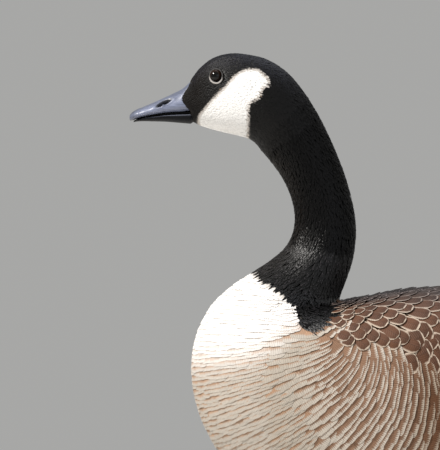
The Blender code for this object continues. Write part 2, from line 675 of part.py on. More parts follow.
def build_legs(home, materials):
    """Feathered thigh, bare shank and webbed foot on each side."""
    for side, word in ((-1, "left"), (1, "right")):
        names = ("thigh_top", "thigh_mid", "thigh_low", "ankle", "foot")
        top, mid, low, ankle, foot = (at_side(LEG[name], side) for name in names)
        rings = limb_rings([top, mid, low, ankle], LEG["thigh_radii"])
        thigh = add_object(f"thigh_{word}", loft_mesh("thigh", rings), home)
        combine(thigh, [swollen_body()], "DIFFERENCE")
        dress(thigh, materials["plumage_thigh"])
        end_way = (ankle - low) / np.linalg.norm(ankle - low)
        start = ankle + end_way * GAP / MM
        path = [start + (foot - start) * share for share in LEG["shank_shares"]]
        rings = limb_rings(path, LEG["shank_radii"], level_end=foot[2] + GAP / MM)
        rings[0] = shank_top(start, end_way)
        shank = add_object(f"shank_{word}", loft_mesh("shank", rings), home)
        dress(shank, materials["foot_skin"])
        build_foot(f"foot_{word}", foot, side, home, materials["foot_skin"])


def shank_top(start, way):
    """The shank's first ring, in the plane of the thigh's last one."""
    beyond = np.array([start - way, start, start + way])
    return limb_rings(beyond, [LEG["shank_radii"][0]] * 3)[1]


def foot_way(turn_deg, side):
    """A level direction, turned outwards from straight ahead."""
    turn = math.radians(turn_deg + FOOT_TURN_DEG)
    return np.array([-math.cos(turn), side * math.sin(turn), 0.0])


def toe_mesh(middle, way, length, root, tip, root_height, tip_height):
    """A toe with a flat sole on the floor and a rounded top that swells at its joints."""
    across = np.array([-way[1], way[0], 0.0])
    outline = [math.pi * k / 4 for k in range(5)]
    rings = []
    for share in (0.0, 0.3, 0.42, 0.66, 0.76, 0.94, 1.0):
        swell = 1.12 if share in (0.42, 0.76) else (0.62 if share == 1.0 else 1.0)
        half = (root + (tip - root) * share) * swell
        height = (root_height + (tip_height - root_height) * share) * swell
        centre = middle + way * length * share
        arch = [centre + across * half * math.cos(a) + [0, 0, height * math.sin(a)] for a in outline]
        rings.append(np.array(arch) * MM)
    return loft_mesh("toe", rings)


def claw_mesh(tip, way):
    """A curved, tapering claw from a toe's end down to just above the floor."""
    rings = []
    across = np.array([-way[1], way[0], 0.0])
    for share, radius, height in ((-0.5, 1.0, 2.9), (0.2, 0.9, 3.0), (0.7, 0.55, 2.0), (1.0, 0.14, 0.7)):
        centre = tip + way * CLAW["length"] * share + [0, 0, height]
        size = CLAW["radius"] * radius
        angles = np.arange(6) * math.pi / 3
        ring = centre + size * (np.cos(angles)[:, None] * across + np.sin(angles)[:, None] * np.array([0, 0, 1.0]))
        rings.append(ring * MM)
    return loft_mesh("claw", rings)


def web_mesh(middle, tips, heel):
    """The web as one flat sheet, its front edge hollowed between the toes."""
    outline = [heel]
    for a, b in zip(tips[:-1], tips[1:]):
        for k in range(WEB["steps"]):
            share = k / WEB["steps"]
            edge = a + (b - a) * share
            outline.append(edge + (middle - edge) * WEB["scallop"] * math.sin(math.pi * share))
    outline.append(tips[-1])
    points = [(p[0] * MM, p[1] * MM, z * MM) for z in (WEB["low"], WEB["high"]) for p in outline]
    return prism("web", points)


def pad_mesh(middle):
    """The foot's middle: a flat sole that rises to the shank's lower end."""
    angles = np.arange(LEG_SIDES) * 2 * math.pi / LEG_SIDES
    sizes = (
        (FOOT_PAD["radius_x"], FOOT_PAD["radius_y"], 0.0),
        (FOOT_PAD["radius_x"], FOOT_PAD["radius_y"], 4.0),
        (LEG["shank_radii"][-1][0] * 1.1, LEG["shank_radii"][-1][1] * 1.15, LEG["foot"][2]),
    )
    rings = []
    for long, wide, height in sizes:
        x = middle[0] + long * np.cos(angles)
        y = middle[1] + wide * np.sin(angles)
        rings.append(np.stack([x, y, np.full(LEG_SIDES, height)], -1) * MM)
    return loft_mesh("pad", rings)


def build_foot(name, foot, side, home, material):
    middle = np.array([foot[0], foot[1], 0.0])
    pieces, tips = [], []
    for _, length, turn, root, tip, root_height, tip_height in TOES:
        way = foot_way(turn, side)
        end = middle + way * length
        pieces += [toe_mesh(middle, way, length, root, tip, root_height, tip_height), claw_mesh(end, way)]
        tips.append(middle + way * length * WEB["reach"])
    pieces.append(web_mesh(middle, tips, middle + foot_way(180.0, side) * 4))
    hind = foot_way(HIND_TOE["turn"] * -1, side)
    hind_path = [middle + [0, 0, HIND_TOE["z"]] + hind * HIND_TOE["length"] * k for k in (0.0, 0.6, 1.0, 1.35)]
    hind_path[-1] = hind_path[-1] - [0, 0, 3.0]
    sizes = [HIND_TOE["radius"] * k for k in (1.2, 1.0, 0.85, 0.2)]
    pieces.append(loft_mesh("hind_toe", limb_rings(hind_path, [(r, r) for r in sizes])))
    obj = add_object(name, pad_mesh(middle), home)
    combine(obj, pieces, "UNION")
    dress(obj, material)


def main():
    clear_scene()
    home = new_collection("canada_goose")
    materials = {name: make_material(name) for name in COLOURS}
    build_bodies(home, materials)
    build_eyes(home, materials)
    build_bill(home, materials)
    build_wings(home, materials)
    build_tail(home, materials)
    build_legs(home, materials)


main()
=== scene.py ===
"""Canada goose, life size, dressed in feathers over its fixed frame, in a plain pale studio.

Metres, +Z up. The bird faces -X, its left side faces -Y, and the floor is z = 0. Sizes in tables are in
millimetres. Skin and feathers lie on one lofted form, where a place is a section's number from the bill
backwards and an angle turns from the back's middle line over the left side.
"""

import logging
import math
from collections.abc import Callable
from dataclasses import dataclass, field
from enum import Enum

import bpy
import numpy as np
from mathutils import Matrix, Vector


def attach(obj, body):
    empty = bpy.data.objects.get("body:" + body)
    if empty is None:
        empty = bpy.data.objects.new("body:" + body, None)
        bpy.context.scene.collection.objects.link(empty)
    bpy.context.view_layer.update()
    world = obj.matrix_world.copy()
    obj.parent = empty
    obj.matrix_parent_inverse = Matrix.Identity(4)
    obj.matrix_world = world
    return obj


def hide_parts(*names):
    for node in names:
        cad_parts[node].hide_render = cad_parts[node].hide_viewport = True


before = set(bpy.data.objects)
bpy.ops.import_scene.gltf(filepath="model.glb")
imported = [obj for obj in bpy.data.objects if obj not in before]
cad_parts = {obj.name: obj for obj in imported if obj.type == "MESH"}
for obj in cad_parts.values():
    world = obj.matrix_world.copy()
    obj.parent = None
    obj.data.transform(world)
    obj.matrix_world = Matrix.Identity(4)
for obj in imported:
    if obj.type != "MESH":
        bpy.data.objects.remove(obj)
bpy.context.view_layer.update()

MM = 0.001
TURN = 2 * math.pi
Array = np.ndarray
Field = Callable[[Array, Array], Array]

# Sections: back x, back z, belly x, belly z, half width, height of the widest place as a share, boxiness.
SECTIONS = {
    "lores": (-285.0, 528.4, -284.6, 499.4, 12.4, 0.46, 0.10),
    "bill_base": (-276.0, 534.2, -275.6, 500.6, 13.6, 0.46, 0.10),
    "forehead": (-268.4, 543.4, -268.0, 497.4, 15.6, 0.45, 0.10),
    "eye": (-258.0, 551.2, -258.4, 494.4, 18.2, 0.44, 0.10),
    "crown": (-244.8, 554.8, -248.0, 491.8, 21.0, 0.43, 0.08),
    "cheek": (-230.4, 554.0, -238.4, 489.6, 23.0, 0.43, 0.06),
    "ear": (-214.4, 549.8, -231.6, 487.8, 24.2, 0.44, 0.04),
    "hind_crown": (-199.4, 540.2, -227.4, 485.8, 24.4, 0.46, 0.02),
    "nape": (-187.2, 526.4, -223.6, 482.6, 23.8, 0.48, 0.0),
    "throat": (-177.6, 511.6, -219.4, 477.6, 23.0, 0.50, 0.0),
    "neck_1": (-168.8, 495.4, -213.6, 470.8, 22.4, 0.50, 0.0),
    "neck_2": (-160.2, 476.4, -207.0, 462.4, 22.2, 0.50, 0.0),
    "neck_3": (-152.8, 457.2, -200.8, 452.4, 22.4, 0.50, 0.0),
    "neck_4": (-147.4, 438.0, -195.8, 440.8, 22.8, 0.50, 0.0),
    "neck_5": (-144.4, 420.4, -192.8, 427.6, 23.4, 0.50, 0.0),
    "neck_6": (-144.4, 404.4, -193.6, 413.6, 24.8, 0.50, 0.0),
    "neck_7": (-147.0, 388.6, -199.6, 400.6, 27.4, 0.50, 0.0),
    "neck_8": (-151.6, 374.6, -211.4, 389.8, 31.6, 0.50, 0.0),
    "neck_root": (-155.6, 364.0, -226.4, 379.8, 37.6, 0.50, 0.0),
    "collar": (-157.4, 358.0, -242.2, 369.4, 46.0, 0.50, 0.0),
    "breast_1": (-156.4, 355.4, -256.6, 356.4, 56.0, 0.51, 0.0),
    "breast_2": (-152.0, 355.8, -266.4, 341.6, 66.0, 0.52, 0.0),
    "breast_3": (-145.6, 357.8, -272.8, 324.2, 75.0, 0.53, 0.0),
    "breast_4": (-136.6, 359.8, -275.2, 304.4, 82.5, 0.53, 0.02),
    "breast_5": (-125.6, 361.4, -273.2, 283.2, 89.0, 0.53, 0.04),
    "breast_6": (-111.6, 362.9, -265.6, 258.6, 94.5, 0.53, 0.06),
    "breast_7": (-94.0, 364.4, -251.0, 233.0, 99.0, 0.53, 0.08),
    "body_1": (-70.0, 365.4, -225.0, 203.0, 102.5, 0.53, 0.10),
    "body_2": (-38.0, 366.0, -181.0, 175.0, 104.5, 0.52, 0.10),
    "body_3": (0.0, 365.0, -117.0, 156.0, 104.5, 0.51, 0.10),
    "body_4": (45.0, 361.0, -45.0, 148.6, 102.0, 0.50, 0.08),
    "body_5": (95.0, 353.2, 28.0, 153.0, 95.5, 0.50, 0.06),
    "vent_1": (140.0, 343.0, 92.0, 170.0, 84.5, 0.52, 0.04),
    "vent_2": (180.0, 331.4, 148.0, 197.0, 69.5, 0.54, 0.02),
    "vent_3": (212.0, 320.6, 194.0, 230.0, 53.0, 0.56, 0.0),
    "vent_4": (240.0, 311.4, 231.0, 259.0, 38.5, 0.58, 0.0),
    "tail_base": (262.0, 304.4, 259.0, 281.0, 27.0, 0.60, 0.0),
}

# Behind the thighs the folded wings leave the body and run straight back. These sections carry them.
WING_REAR = (
    (95.0, 355.0, 40.0, 160.0, 98.0, 0.50, 0.06),
    (140.0, 348.0, 105.0, 186.0, 91.0, 0.51, 0.04),
    (184.0, 339.0, 165.0, 214.0, 78.5, 0.52, 0.02),
    (225.0, 329.0, 215.0, 238.0, 62.0, 0.53, 0.0),
    (262.0, 319.0, 259.0, 256.0, 46.0, 0.54, 0.0),
    (292.0, 311.0, 292.0, 268.0, 32.0, 0.55, 0.0),
    (316.0, 304.0, 316.0, 276.0, 22.0, 0.55, 0.0),
)

# The thigh's sections run down the leg, and its eighth number is how far its middle lies from the body's.
THIGH = (
    (31.4, 214.9, -51.4, 185.1, 32.0, 0.50, 0.0, 42.0),
    (34.8, 161.1, -18.8, 138.9, 22.0, 0.50, 0.0, 48.0),
    (35.2, 132.4, 6.8, 117.6, 13.0, 0.50, 0.0, 52.0),
    (39.5, 110.5, 22.5, 101.5, 8.2, 0.50, 0.0, 54.0),
)

UPPER_BILL = (
    (-270.0, 538.4, -270.0, 508.8, 12.8, 0.30, 0.0),
    (-281.6, 527.6, -281.6, 508.0, 12.5, 0.30, 0.0),
    (-288.8, 523.6, -288.8, 507.6, 12.0, 0.30, 0.0),
    (-296.8, 519.8, -296.8, 507.0, 11.3, 0.31, 0.0),
    (-304.8, 516.2, -304.8, 505.8, 10.6, 0.32, 0.0),
    (-312.8, 512.8, -312.8, 504.6, 9.8, 0.33, 0.0),
    (-318.6, 510.2, -318.6, 503.2, 8.6, 0.36, 0.0),
    (-322.6, 507.8, -322.6, 501.8, 6.4, 0.42, 0.0),
    (-324.6, 505.4, -324.6, 501.6, 3.2, 0.48, 0.0),
)
LOWER_BILL = (
    (-270.0, 508.2, -270.0, 498.2, 11.0, 0.62, 0.0),
    (-281.6, 507.4, -281.6, 499.2, 10.8, 0.62, 0.0),
    (-288.8, 507.0, -288.8, 499.8, 10.3, 0.62, 0.0),
    (-296.8, 506.4, -296.8, 500.4, 9.7, 0.62, 0.0),
    (-304.8, 505.2, -304.8, 500.6, 9.0, 0.62, 0.0),
    (-312.8, 504.0, -312.8, 500.8, 8.0, 0.60, 0.0),
    (-318.6, 502.6, -318.6, 500.6, 6.2, 0.56, 0.0),
    (-321.6, 501.2, -321.6, 500.0, 3.4, 0.50, 0.0),
)

# The folded wing's bed: place, upper and lower edge in degrees, height over the body.
WING_BED = (
    (24.0, 34.0, 54.0, 2.6),
    (25.0, 19.0, 60.0, 5.5),
    (26.0, 14.0, 64.0, 8.0),
    (27.0, 13.0, 71.0, 10.0),
    (28.0, 13.0, 82.0, 11.0),
    (29.0, 14.0, 94.0, 10.5),
    (30.0, 18.0, 97.0, 8.5),
    (31.0, 25.0, 91.0, 6.0),
    (32.2, 34.0, 80.0, 4.0),
)
WING_EDGE_HEIGHT = 2.2
# The coat eases on to the bed over this angle, and the wing's own feathers cover it from this place on.
WING_SOFT_DEG = 10.0
WING_MARGIN_DEG = 4.0
WING_SHOWN_FROM = 28.3

# Markings in side view, x and z in millimetres.
CHEEK_OUTLINE = (
    (-229.6, 542.9), (-221.7, 541.8), (-214.4, 535.1), (-213.4, 529.0), (-218.4, 526.6), (-220.6, 519.9),
    (-228.6, 514.3), (-229.6, 510.9), (-229.6, 478.0), (-262.0, 478.0), (-271.2, 499.7), (-270.2, 505.3),
    (-260.0, 517.8), (-249.8, 527.8), (-240.8, 537.8), (-235.2, 541.2),
)
SOCK_OUTLINE = (
    (-300.0, 384.0), (-226.2, 379.4), (-222.2, 373.3), (-205.0, 363.4), (-194.4, 352.8), (-187.8, 342.1),
    (-182.4, 335.4), (-174.5, 334.8), (-165.4, 342.1), (-159.2, 347.4), (-156.6, 356.0), (-120.0, 372.0),
    (-120.0, 620.0), (-300.0, 620.0),
)

FEATHER_LINE_X = -276.6
FEATHER_LINE_TOP = 535.0
GAPE_Z = 508.4
FEATHER_LOBE = 6.6

EYE_MIDDLE = (-255.6, 9.9, 536.4)
EYE_RADIUS = 6.3
EYE_OUT_DEG = 8.0

SEED = 11
KERATIN_IOR = 1.54
CORNEA_IOR = 1.376
SHARP_DEG = 60.0
# A feather's own patch on the map, as a share of the map's side.
PATCH = 0.003
# Slopes under 2 mm a step, at a pole, count as 2 mm.
LEAST_PRODUCT = (2 * MM) ** 2


def linear(code: str) -> Array:
    """Turns an sRGB hex colour to linear red, green, blue and alpha.

    Args:
        code: six hex digits after a hash sign.

    Returns:
        Four linear numbers.
    """
    parts = np.array([int(code[i : i + 2], 16) / 255 for i in (1, 3, 5)])
    low, high = parts / 12.92, ((parts + 0.055) / 1.055) ** 2.4
    return np.append(np.where(parts <= 0.04045, low, high), 1.0)


def smooth_step(low: float, high: float, value: Array) -> Array:
    """A cubic ease from 0 at low to 1 at high.

    Args:
        low: where it leaves 0.
        high: where it reaches 1.
        value: what is eased.

    Returns:
        The eased value.
    """
    share = np.clip((value - low) / (high - low), 0, 1)
    return share * share * (3 - 2 * share)


def blend(first: Array, second: Array, share: Array) -> Array:
    """Mixes two colours by a share for each row.

    Args:
        first: colour or colours at share 0.
        second: colour or colours at share 1.
        share: one number a row.

    Returns:
        One colour a row.
    """
    share = np.asarray(share)[..., None]
    return first * (1 - share) + second * share


def inside(x: Array, z: Array, outline: tuple[tuple[float, float], ...]) -> Array:
    """How far points lie inside an outline in side view, in millimetres, negative outside.

    The distance is to the nearest edge. The sign comes from counting the edges that a ray crosses.

    Args:
        x: places along the bird, in millimetres.
        z: heights, in millimetres.
        outline: corners in order.

    Returns:
        Signed distances of the shape of x.
    """
    start = np.array(outline)
    end = np.roll(start, -1, axis=0)
    edge = end - start
    spot = np.stack([x, z], -1)[..., None, :]
    share = np.clip(((spot - start) * edge).sum(-1) / (edge**2).sum(-1), 0, 1)
    away = np.linalg.norm(spot - start - share[..., None] * edge, axis=-1).min(-1)
    z_spot, x_spot = spot[..., 1], spot[..., 0]
    spans = (start[:, 1] > z_spot) != (end[:, 1] > z_spot)
    rise = np.where(edge[:, 1] == 0, 1, edge[:, 1])
    hits = spans & (x_spot < start[:, 0] + (z_spot - start[:, 1]) / rise * edge[:, 0])
    return np.where(hits.sum(-1) % 2 == 1, away, -away)


def unit(vector: Array) -> Array:
    """Vectors on the last axis, made one long."""
    return vector / np.maximum(np.linalg.norm(vector, axis=-1, keepdims=True), 1e-12)


def cubic(rows: Array, place: Array) -> Array:
    """Rows at places between them, by a cubic through each place's four neighbours.

    Args:
        rows: n by k.
        place: row numbers with a share, which may run a little past either end.

    Returns:
        One row a place.
    """
    last = len(rows) - 1
    i = np.clip(np.floor(place).astype(int), 0, last - 1)
    t = (np.clip(place, -0.6, last + 0.6) - i)[..., None]
    before, here, there, after = (rows[np.clip(i + k, 0, last)] for k in (-1, 0, 1, 2))
    slope_in, slope_out, rise = (there - before) / 2, (after - here) / 2, there - here
    curve = (3 * rise - 2 * slope_in - slope_out) * t**2
    return here + slope_in * t + curve + (slope_in + slope_out - 2 * rise) * t**3


def solve(products: tuple[Array, Array, Array], one: Array, two: Array) -> tuple[Array, Array]:
    """Shares of two slopes in a vector, from the slopes' products and the vector's product with each.

    Where the slopes nearly line up, the divisor is held at a small part of its greatest value.

    Args:
        products: first by first, first by second, second by second.
        one: vector by first.
        two: vector by second.

    Returns:
        The two shares.
    """
    first, mixed, last = products
    spread = np.maximum(first * last - mixed**2, 0.04 * first * last)
    return (last * one - mixed * two) / spread, (first * two - mixed * one) / spread


@dataclass(frozen=True)
class Form:
    """A surface through oval sections, smooth from one to the next.

    A point is the section's middle, moved up the line from belly to back and out along Y. Its share of
    that line is (1 + cos angle) / 2 with the widest place moved by sin squared, and its way out is half
    the width times sin angle, fuller at the corners by the boxiness.
    """

    sections: tuple[tuple[float, ...], ...]
    side: float = -1.0

    def point(self, place: Array, angle: Array) -> Array:
        """Points on the form.

        Args:
            place: section numbers.
            angle: radians from the back's middle line.

        Returns:
            Points in metres on the last axis.
        """
        place, angle = np.broadcast_arrays(np.asarray(place, float), np.asarray(angle, float))
        rows = np.array([(*row, 0.0)[:8] for row in self.sections]) * [MM, MM, MM, MM, MM, 1, 1, MM]
        back_x, back_z, belly_x, belly_z, half, widest, boxy, middle = np.moveaxis(cubic(rows, place), -1, 0)
        up = (1 + np.cos(angle)) / 2 + (widest - 0.5) * np.sin(angle) ** 2
        out = self.side * middle - half * np.sin(angle) * (1 + boxy * np.cos(angle) ** 2)
        return np.stack([belly_x + (back_x - belly_x) * up, out, belly_z + (back_z - belly_z) * up], -1)

    def slopes(self, place: Array, angle: Array) -> tuple[Array, Array]:
        """Changes of the point along the places and round the angles, by two short steps each.

        Args:
            place: section numbers.
            angle: radians.

        Returns:
            Metres for each section, and metres for each radian.
        """
        step = 0.02
        along = self.point(place + step, angle) - self.point(place - step, angle)
        around = self.point(place, angle + step) - self.point(place, angle - step)
        return along / (2 * step), around / (2 * step)

    def normal(self, place: Array, angle: Array) -> Array:
        """Outward unit normals: round the form crossed with along it."""
        along, around = self.slopes(place, angle)
        return unit(np.cross(around, along))

    def metric(self, place: Array, angle: Array) -> tuple[Array, Array, tuple[Array, Array, Array]]:
        """The two slopes and their products: along by along, along by around, around by around.

        Args:
            place: section numbers.
            angle: radians.

        Returns:
            Slope along, slope around, and the three products.
        """
        along, around = self.slopes(place, angle)
        first, mixed, last = (along * along).sum(-1), (along * around).sum(-1), (around * around).sum(-1)
        return along, around, (np.maximum(first, LEAST_PRODUCT), mixed, np.maximum(last, LEAST_PRODUCT))

    def rates(self, place: Array, angle: Array, vector: Array) -> tuple[Array, Array]:
        """How place and angle change for a step by a vector that lies in the surface.

        Args:
            place: section numbers.
            angle: radians.
            vector: steps in metres on the last axis.

        Returns:
            Changes of place and of angle.
        """
        along, around, products = self.metric(place, angle)
        return solve(products, (vector * along).sum(-1), (vector * around).sum(-1))

    def raised(self, place: Array, angle: Array, height: Array) -> Array:
        """Points over the form by a height in metres."""
        return self.point(place, angle) + self.normal(place, angle) * np.asarray(height)[..., None]


BODY = Form(tuple(SECTIONS.values()))
CARRIER = Form((*tuple(SECTIONS.values())[: list(SECTIONS).index("body_4") + 1], *WING_REAR))


def wing_span(place: Array) -> tuple[Array, Array, Array]:
    """Upper edge, lower edge and height of the wing's bed at a place, in radians and millimetres.

    Args:
        place: section numbers.

    Returns:
        Two angles and a height for each place.
    """
    table = np.array(WING_BED)
    upper, lower, height = (np.interp(place, table[:, 0], table[:, k]) for k in (1, 2, 3))
    return np.radians(upper), np.radians(lower), height


def side_angle(angle: Array) -> Array:
    """An angle's distance from the back's middle line, the same on both sides."""
    turned = np.mod(angle, TURN)
    return np.minimum(turned, TURN - turned)


def ease_round(low_deg: float, high_deg: float, angle: Array) -> Array:
    """A cubic ease down either side, between two distances from the back's middle line in degrees."""
    return smooth_step(math.radians(low_deg), math.radians(high_deg), side_angle(angle))


def wing_rise(place: Array, angle: Array) -> Array:
    """Height of the wing's bed over its carrier, in metres: a sine arch between its edges.

    Args:
        place: section numbers.
        angle: radians.

    Returns:
        One height a spot.
    """
    upper, lower, height = wing_span(place)
    across = np.clip((side_angle(angle) - upper) / (lower - upper), 0, 1)
    return (WING_EDGE_HEIGHT + (height - WING_EDGE_HEIGHT) * np.sin(math.pi * across) ** 0.8) * MM


def wing_cover(place: Array, angle: Array) -> Array:
    """How much a spot stands on the wing's bed: 1 on it, easing to 0 outside its edges.

    Args:
        place: section numbers.
        angle: radians.

    Returns:
        One share a spot.
    """
    upper, lower, _ = wing_span(place)
    soft = math.radians(WING_SOFT_DEG)
    turned = side_angle(angle)
    lengthwise = smooth_step(22.6, 24.0, place)
    return smooth_step(-soft, 0.0, turned - upper) * smooth_step(-soft, 0.0, lower - turned) * lengthwise


def wing_shown(place: Array, angle: Array) -> Array:
    """Whether a spot lies on the part of the wing that its own feathers cover: it starts later below.

    Args:
        place: section numbers.
        angle: radians.

    Returns:
        True or false for each spot.
    """
    upper, lower, _ = wing_span(place)
    margin = math.radians(WING_MARGIN_DEG)
    turned = side_angle(angle)
    start = WING_SHOWN_FROM + 0.9 * smooth_step(math.radians(48), math.radians(88), turned)
    return (turned > upper + margin) & (turned < lower - margin) & (place > start)


def coat_ground(place: Array, angle: Array) -> Array:
    """Height that the body's feathers lie at: nothing, but up over the wing's edge where they meet it."""
    return wing_rise(place, angle) * wing_cover(place, angle)


def flat_ground(place: Array, angle: Array) -> Array:
    """No height at all."""
    return np.zeros(np.broadcast(place, angle).shape)


@dataclass(frozen=True)
class Flow:
    """Which way feathers lie on a form and how their rows run: rows along sections, each behind the last."""

    form: Form

    def rank(self, place: Array, angle: Array) -> Array:
        """A number that grows the way the feathers point and is the same along a row."""
        return np.broadcast_arrays(place, angle)[0]

    def way(self, place: Array, angle: Array) -> Array:
        """The way that feathers point, as unit vectors: along the form's length lines."""
        return unit(self.form.slopes(place, angle)[0])

    def line(self, rank: float, angle: Array) -> Array:
        """Places where a row crosses given angles, or nan where it doesn't."""
        return np.full(angle.shape, rank)

    def climb(self, place: Array, angle: Array) -> tuple[Array, Array]:
        """The rank's steepest climb in the surface.

        The rank's changes by place and by angle are combined with the slopes through their products.

        Args:
            place: section numbers.
            angle: radians.

        Returns:
            The climb's unit vectors, and how much the rank grows for each metre.
        """
        step = 0.01
        by_place = (self.rank(place + step, angle) - self.rank(place - step, angle)) / (2 * step)
        by_angle = (self.rank(place, angle + step) - self.rank(place, angle - step)) / (2 * step)
        along, around, products = self.form.metric(place, angle)
        go_place, go_angle = solve(products, by_place, by_angle)
        vector = go_place[..., None] * along + go_angle[..., None] * around
        return unit(vector), np.linalg.norm(vector, axis=-1)

    def ahead(self, place: Array, angle: Array, distance: Array) -> tuple[Array, Array]:
        """Where feathers of a given length in metres end, followed in four steps.

        Args:
            place: section numbers.
            angle: radians.
            distance: lengths in metres.

        Returns:
            Places and angles of the ends.
        """
        for _ in range(4):
            by_place, by_angle = self.form.rates(place, angle, self.way(place, angle))
            place, angle = place + by_place * distance / 4, angle + by_angle * distance / 4
        return place, angle


@dataclass(frozen=True)
class Fan(Flow):
    """Rows that fan out from the neck's foot round the breast and hang from the shoulder's line.

    In side view they are halves of hyperbolas about two points, the neck's foot and the wing's middle,
    bowed to the rear by a parabola of their depth below the foot. The rank is the elliptic angle: the
    imaginary part of the inverse hyperbolic cosine of the spot, from the points' middle, in half their
    distance.
    """

    foot: tuple[float, float] = (-160.0, 338.0)
    wing: tuple[float, float] = (40.0, 338.0)
    shoulder_drop: float = 0.467
    bow: float = 0.75
    bow_depth: float = 88.0

    def rank(self, place: Array, angle: Array) -> Array:
        """The elliptic angle, growing from the throat down the breast and back along the belly.

        Args:
            place: section numbers.
            angle: radians.

        Returns:
            One rank a spot.
        """
        point = self.form.point(place, angle) / MM
        first, second = complex(*self.foot), complex(*self.wing)
        depth = np.clip(self.foot[1] - point[..., 2], 0, self.bow_depth)
        bowed = point[..., 0] - self.bow * (depth - depth**2 / (2 * self.bow_depth))
        spot = (bowed + 1j * point[..., 2] - (first + second) / 2) / ((second - first) / 2)
        return np.mod(np.arccosh(spot).imag, TURN)

    def way(self, place: Array, angle: Array) -> Array:
        """Feathers point square to their rows."""
        return self.climb(place, angle)[0]

    def line(self, rank: float, angle: Array) -> Array:
        """Places where a row crosses given angles, read back from the rank along each angle.

        Args:
            rank: the row's rank.
            angle: radians.

        Returns:
            One place an angle, or nan where none is.
        """
        place = np.linspace(15.0, 33.0, 340)
        table = self.rank(place[:, None], angle[None])
        return np.array([np.interp(rank, column, place, np.nan, np.nan) for column in clean_rise(table).T])

    def below(self, place: Array, angle: Array) -> Array:
        """How far a spot lies below the shoulder's line, which drops evenly from the neck's foot, in mm."""
        point = self.form.point(place, angle) / MM
        return self.foot[1] - self.shoulder_drop * (point[..., 0] - self.foot[0]) - point[..., 2]


def clean_rise(table: Array) -> Array:
    """A table whose columns only rise, by carrying each column's greatest value on."""
    return np.maximum.accumulate(table, axis=0) + 1e-9 * np.arange(len(table))[:, None]


def build_mesh(name: str, points: Array, quads: Array, tris: Array) -> bpy.types.Mesh:
    """Puts arrays into a smooth mesh.

    Args:
        name: mesh name.
        points: n by 3.
        quads: m by 4 corner numbers.
        tris: k by 3 corner numbers.

    Returns:
        The mesh.
    """
    mesh = bpy.data.meshes.new(name)
    quads, tris = np.asarray(quads, int).reshape(-1, 4), np.asarray(tris, int).reshape(-1, 3)
    corners = np.concatenate([quads.ravel(), tris.ravel()])
    starts = np.concatenate([np.arange(len(quads)) * 4, 4 * len(quads) + np.arange(len(tris)) * 3])
    mesh.vertices.add(len(points))
    mesh.vertices.foreach_set("co", np.ascontiguousarray(points, np.float32).ravel())
    mesh.loops.add(len(corners))
    mesh.loops.foreach_set("vertex_index", corners.astype(np.int32))
    mesh.polygons.add(len(starts))
    mesh.polygons.foreach_set("loop_start", starts.astype(np.int32))
    mesh.update(calc_edges=True)
    mesh.validate()
    mesh.shade_smooth()
    mesh.set_sharp_from_angle(angle=math.radians(SHARP_DEG))
    return mesh


def store(mesh: bpy.types.Mesh, name: str, kind: str, values: Array) -> None:
    """Keeps a value for each point as an attribute.

    Args:
        mesh: where it is kept.
        name: the attribute's name.
        kind: FLOAT, FLOAT_VECTOR or FLOAT_COLOR.
        values: one row a point.
    """
    key = {"FLOAT": "value", "FLOAT_VECTOR": "vector", "FLOAT_COLOR": "color"}[kind]
    layer = mesh.attributes.new(name, kind, "POINT")
    layer.data.foreach_set(key, np.ascontiguousarray(values, np.float32).ravel())


def store_map(mesh: bpy.types.Mesh, spots: Array) -> None:
    """Makes the OFBake map from one spot a point.

    Args:
        mesh: where the map goes.
        spots: n by 2, in map units.
    """
    corners = np.empty(len(mesh.loops), np.int32)
    mesh.loops.foreach_get("vertex_index", corners)
    layer = mesh.uv_layers.new(name="OFBake")
    layer.uv.foreach_set("vector", np.ascontiguousarray(spots[corners], np.float32).ravel())


def grid_faces(rows: int, columns: int) -> Array:
    """Quads of a grid of points held row by row, joined round.

    Args:
        rows: how many rows.
        columns: points in a row.

    Returns:
        Four point numbers a quad.
    """
    i, j = np.meshgrid(np.arange(rows - 1), np.arange(columns), indexing="ij")
    a, b = i * columns + j, i * columns + (j + 1) % columns
    return np.stack([a, b, b + columns, a + columns], -1).reshape(-1, 4)


def closed_grid(rings: Array) -> tuple[Array, Array, Array]:
    """A tube through rings, closed by a fan over each end.

    Args:
        rings: rows by columns by 3.

    Returns:
        Points, quads and triangles.
    """
    rows, columns = rings.shape[:2]
    points = np.concatenate([rings.reshape(-1, 3), rings[:1].mean(1), rings[-1:].mean(1)])
    hub, j = rows * columns, np.arange(columns)
    k = (j + 1) % columns
    end = (rows - 1) * columns
    first = np.stack([np.full(columns, hub), k, j], -1)
    last = np.stack([np.full(columns, hub + 1), end + j, end + k], -1)
    return points, grid_faces(rows, columns), np.concatenate([first, last])


def sweep(path: Array, radii: Array, columns: int = 20) -> Array:
    """Oval rings square to a path that lies near a plane of constant Y.

    Each ring is the path's point, plus the fore-and-aft radius by cos and the sideways radius by sin.

    Args:
        path: n by 3 points.
        radii: n by 2, fore-and-aft and sideways.
        columns: points in a ring.

    Returns:
        n by columns by 3.
    """
    way = np.gradient(path, axis=0)
    way /= np.linalg.norm(way, axis=1, keepdims=True)
    ahead = np.stack([way[:, 2], np.zeros(len(way)), -way[:, 0]], -1)
    ahead /= np.maximum(np.linalg.norm(ahead, axis=1, keepdims=True), 1e-9)
    across = np.cross(way, ahead)
    angle = np.arange(columns) * TURN / columns
    long, wide = radii[:, 0, None, None], radii[:, 1, None, None]
    return (
        path[:, None]
        + long * np.cos(angle)[:, None] * ahead[:, None]
        + wide * np.sin(angle)[:, None] * across[:, None]
    )


def resample(rows: Array, count: int) -> Array:
    """A smooth curve through rows, taken at even steps."""
    return cubic(np.asarray(rows, float), np.linspace(0, len(rows) - 1, count))


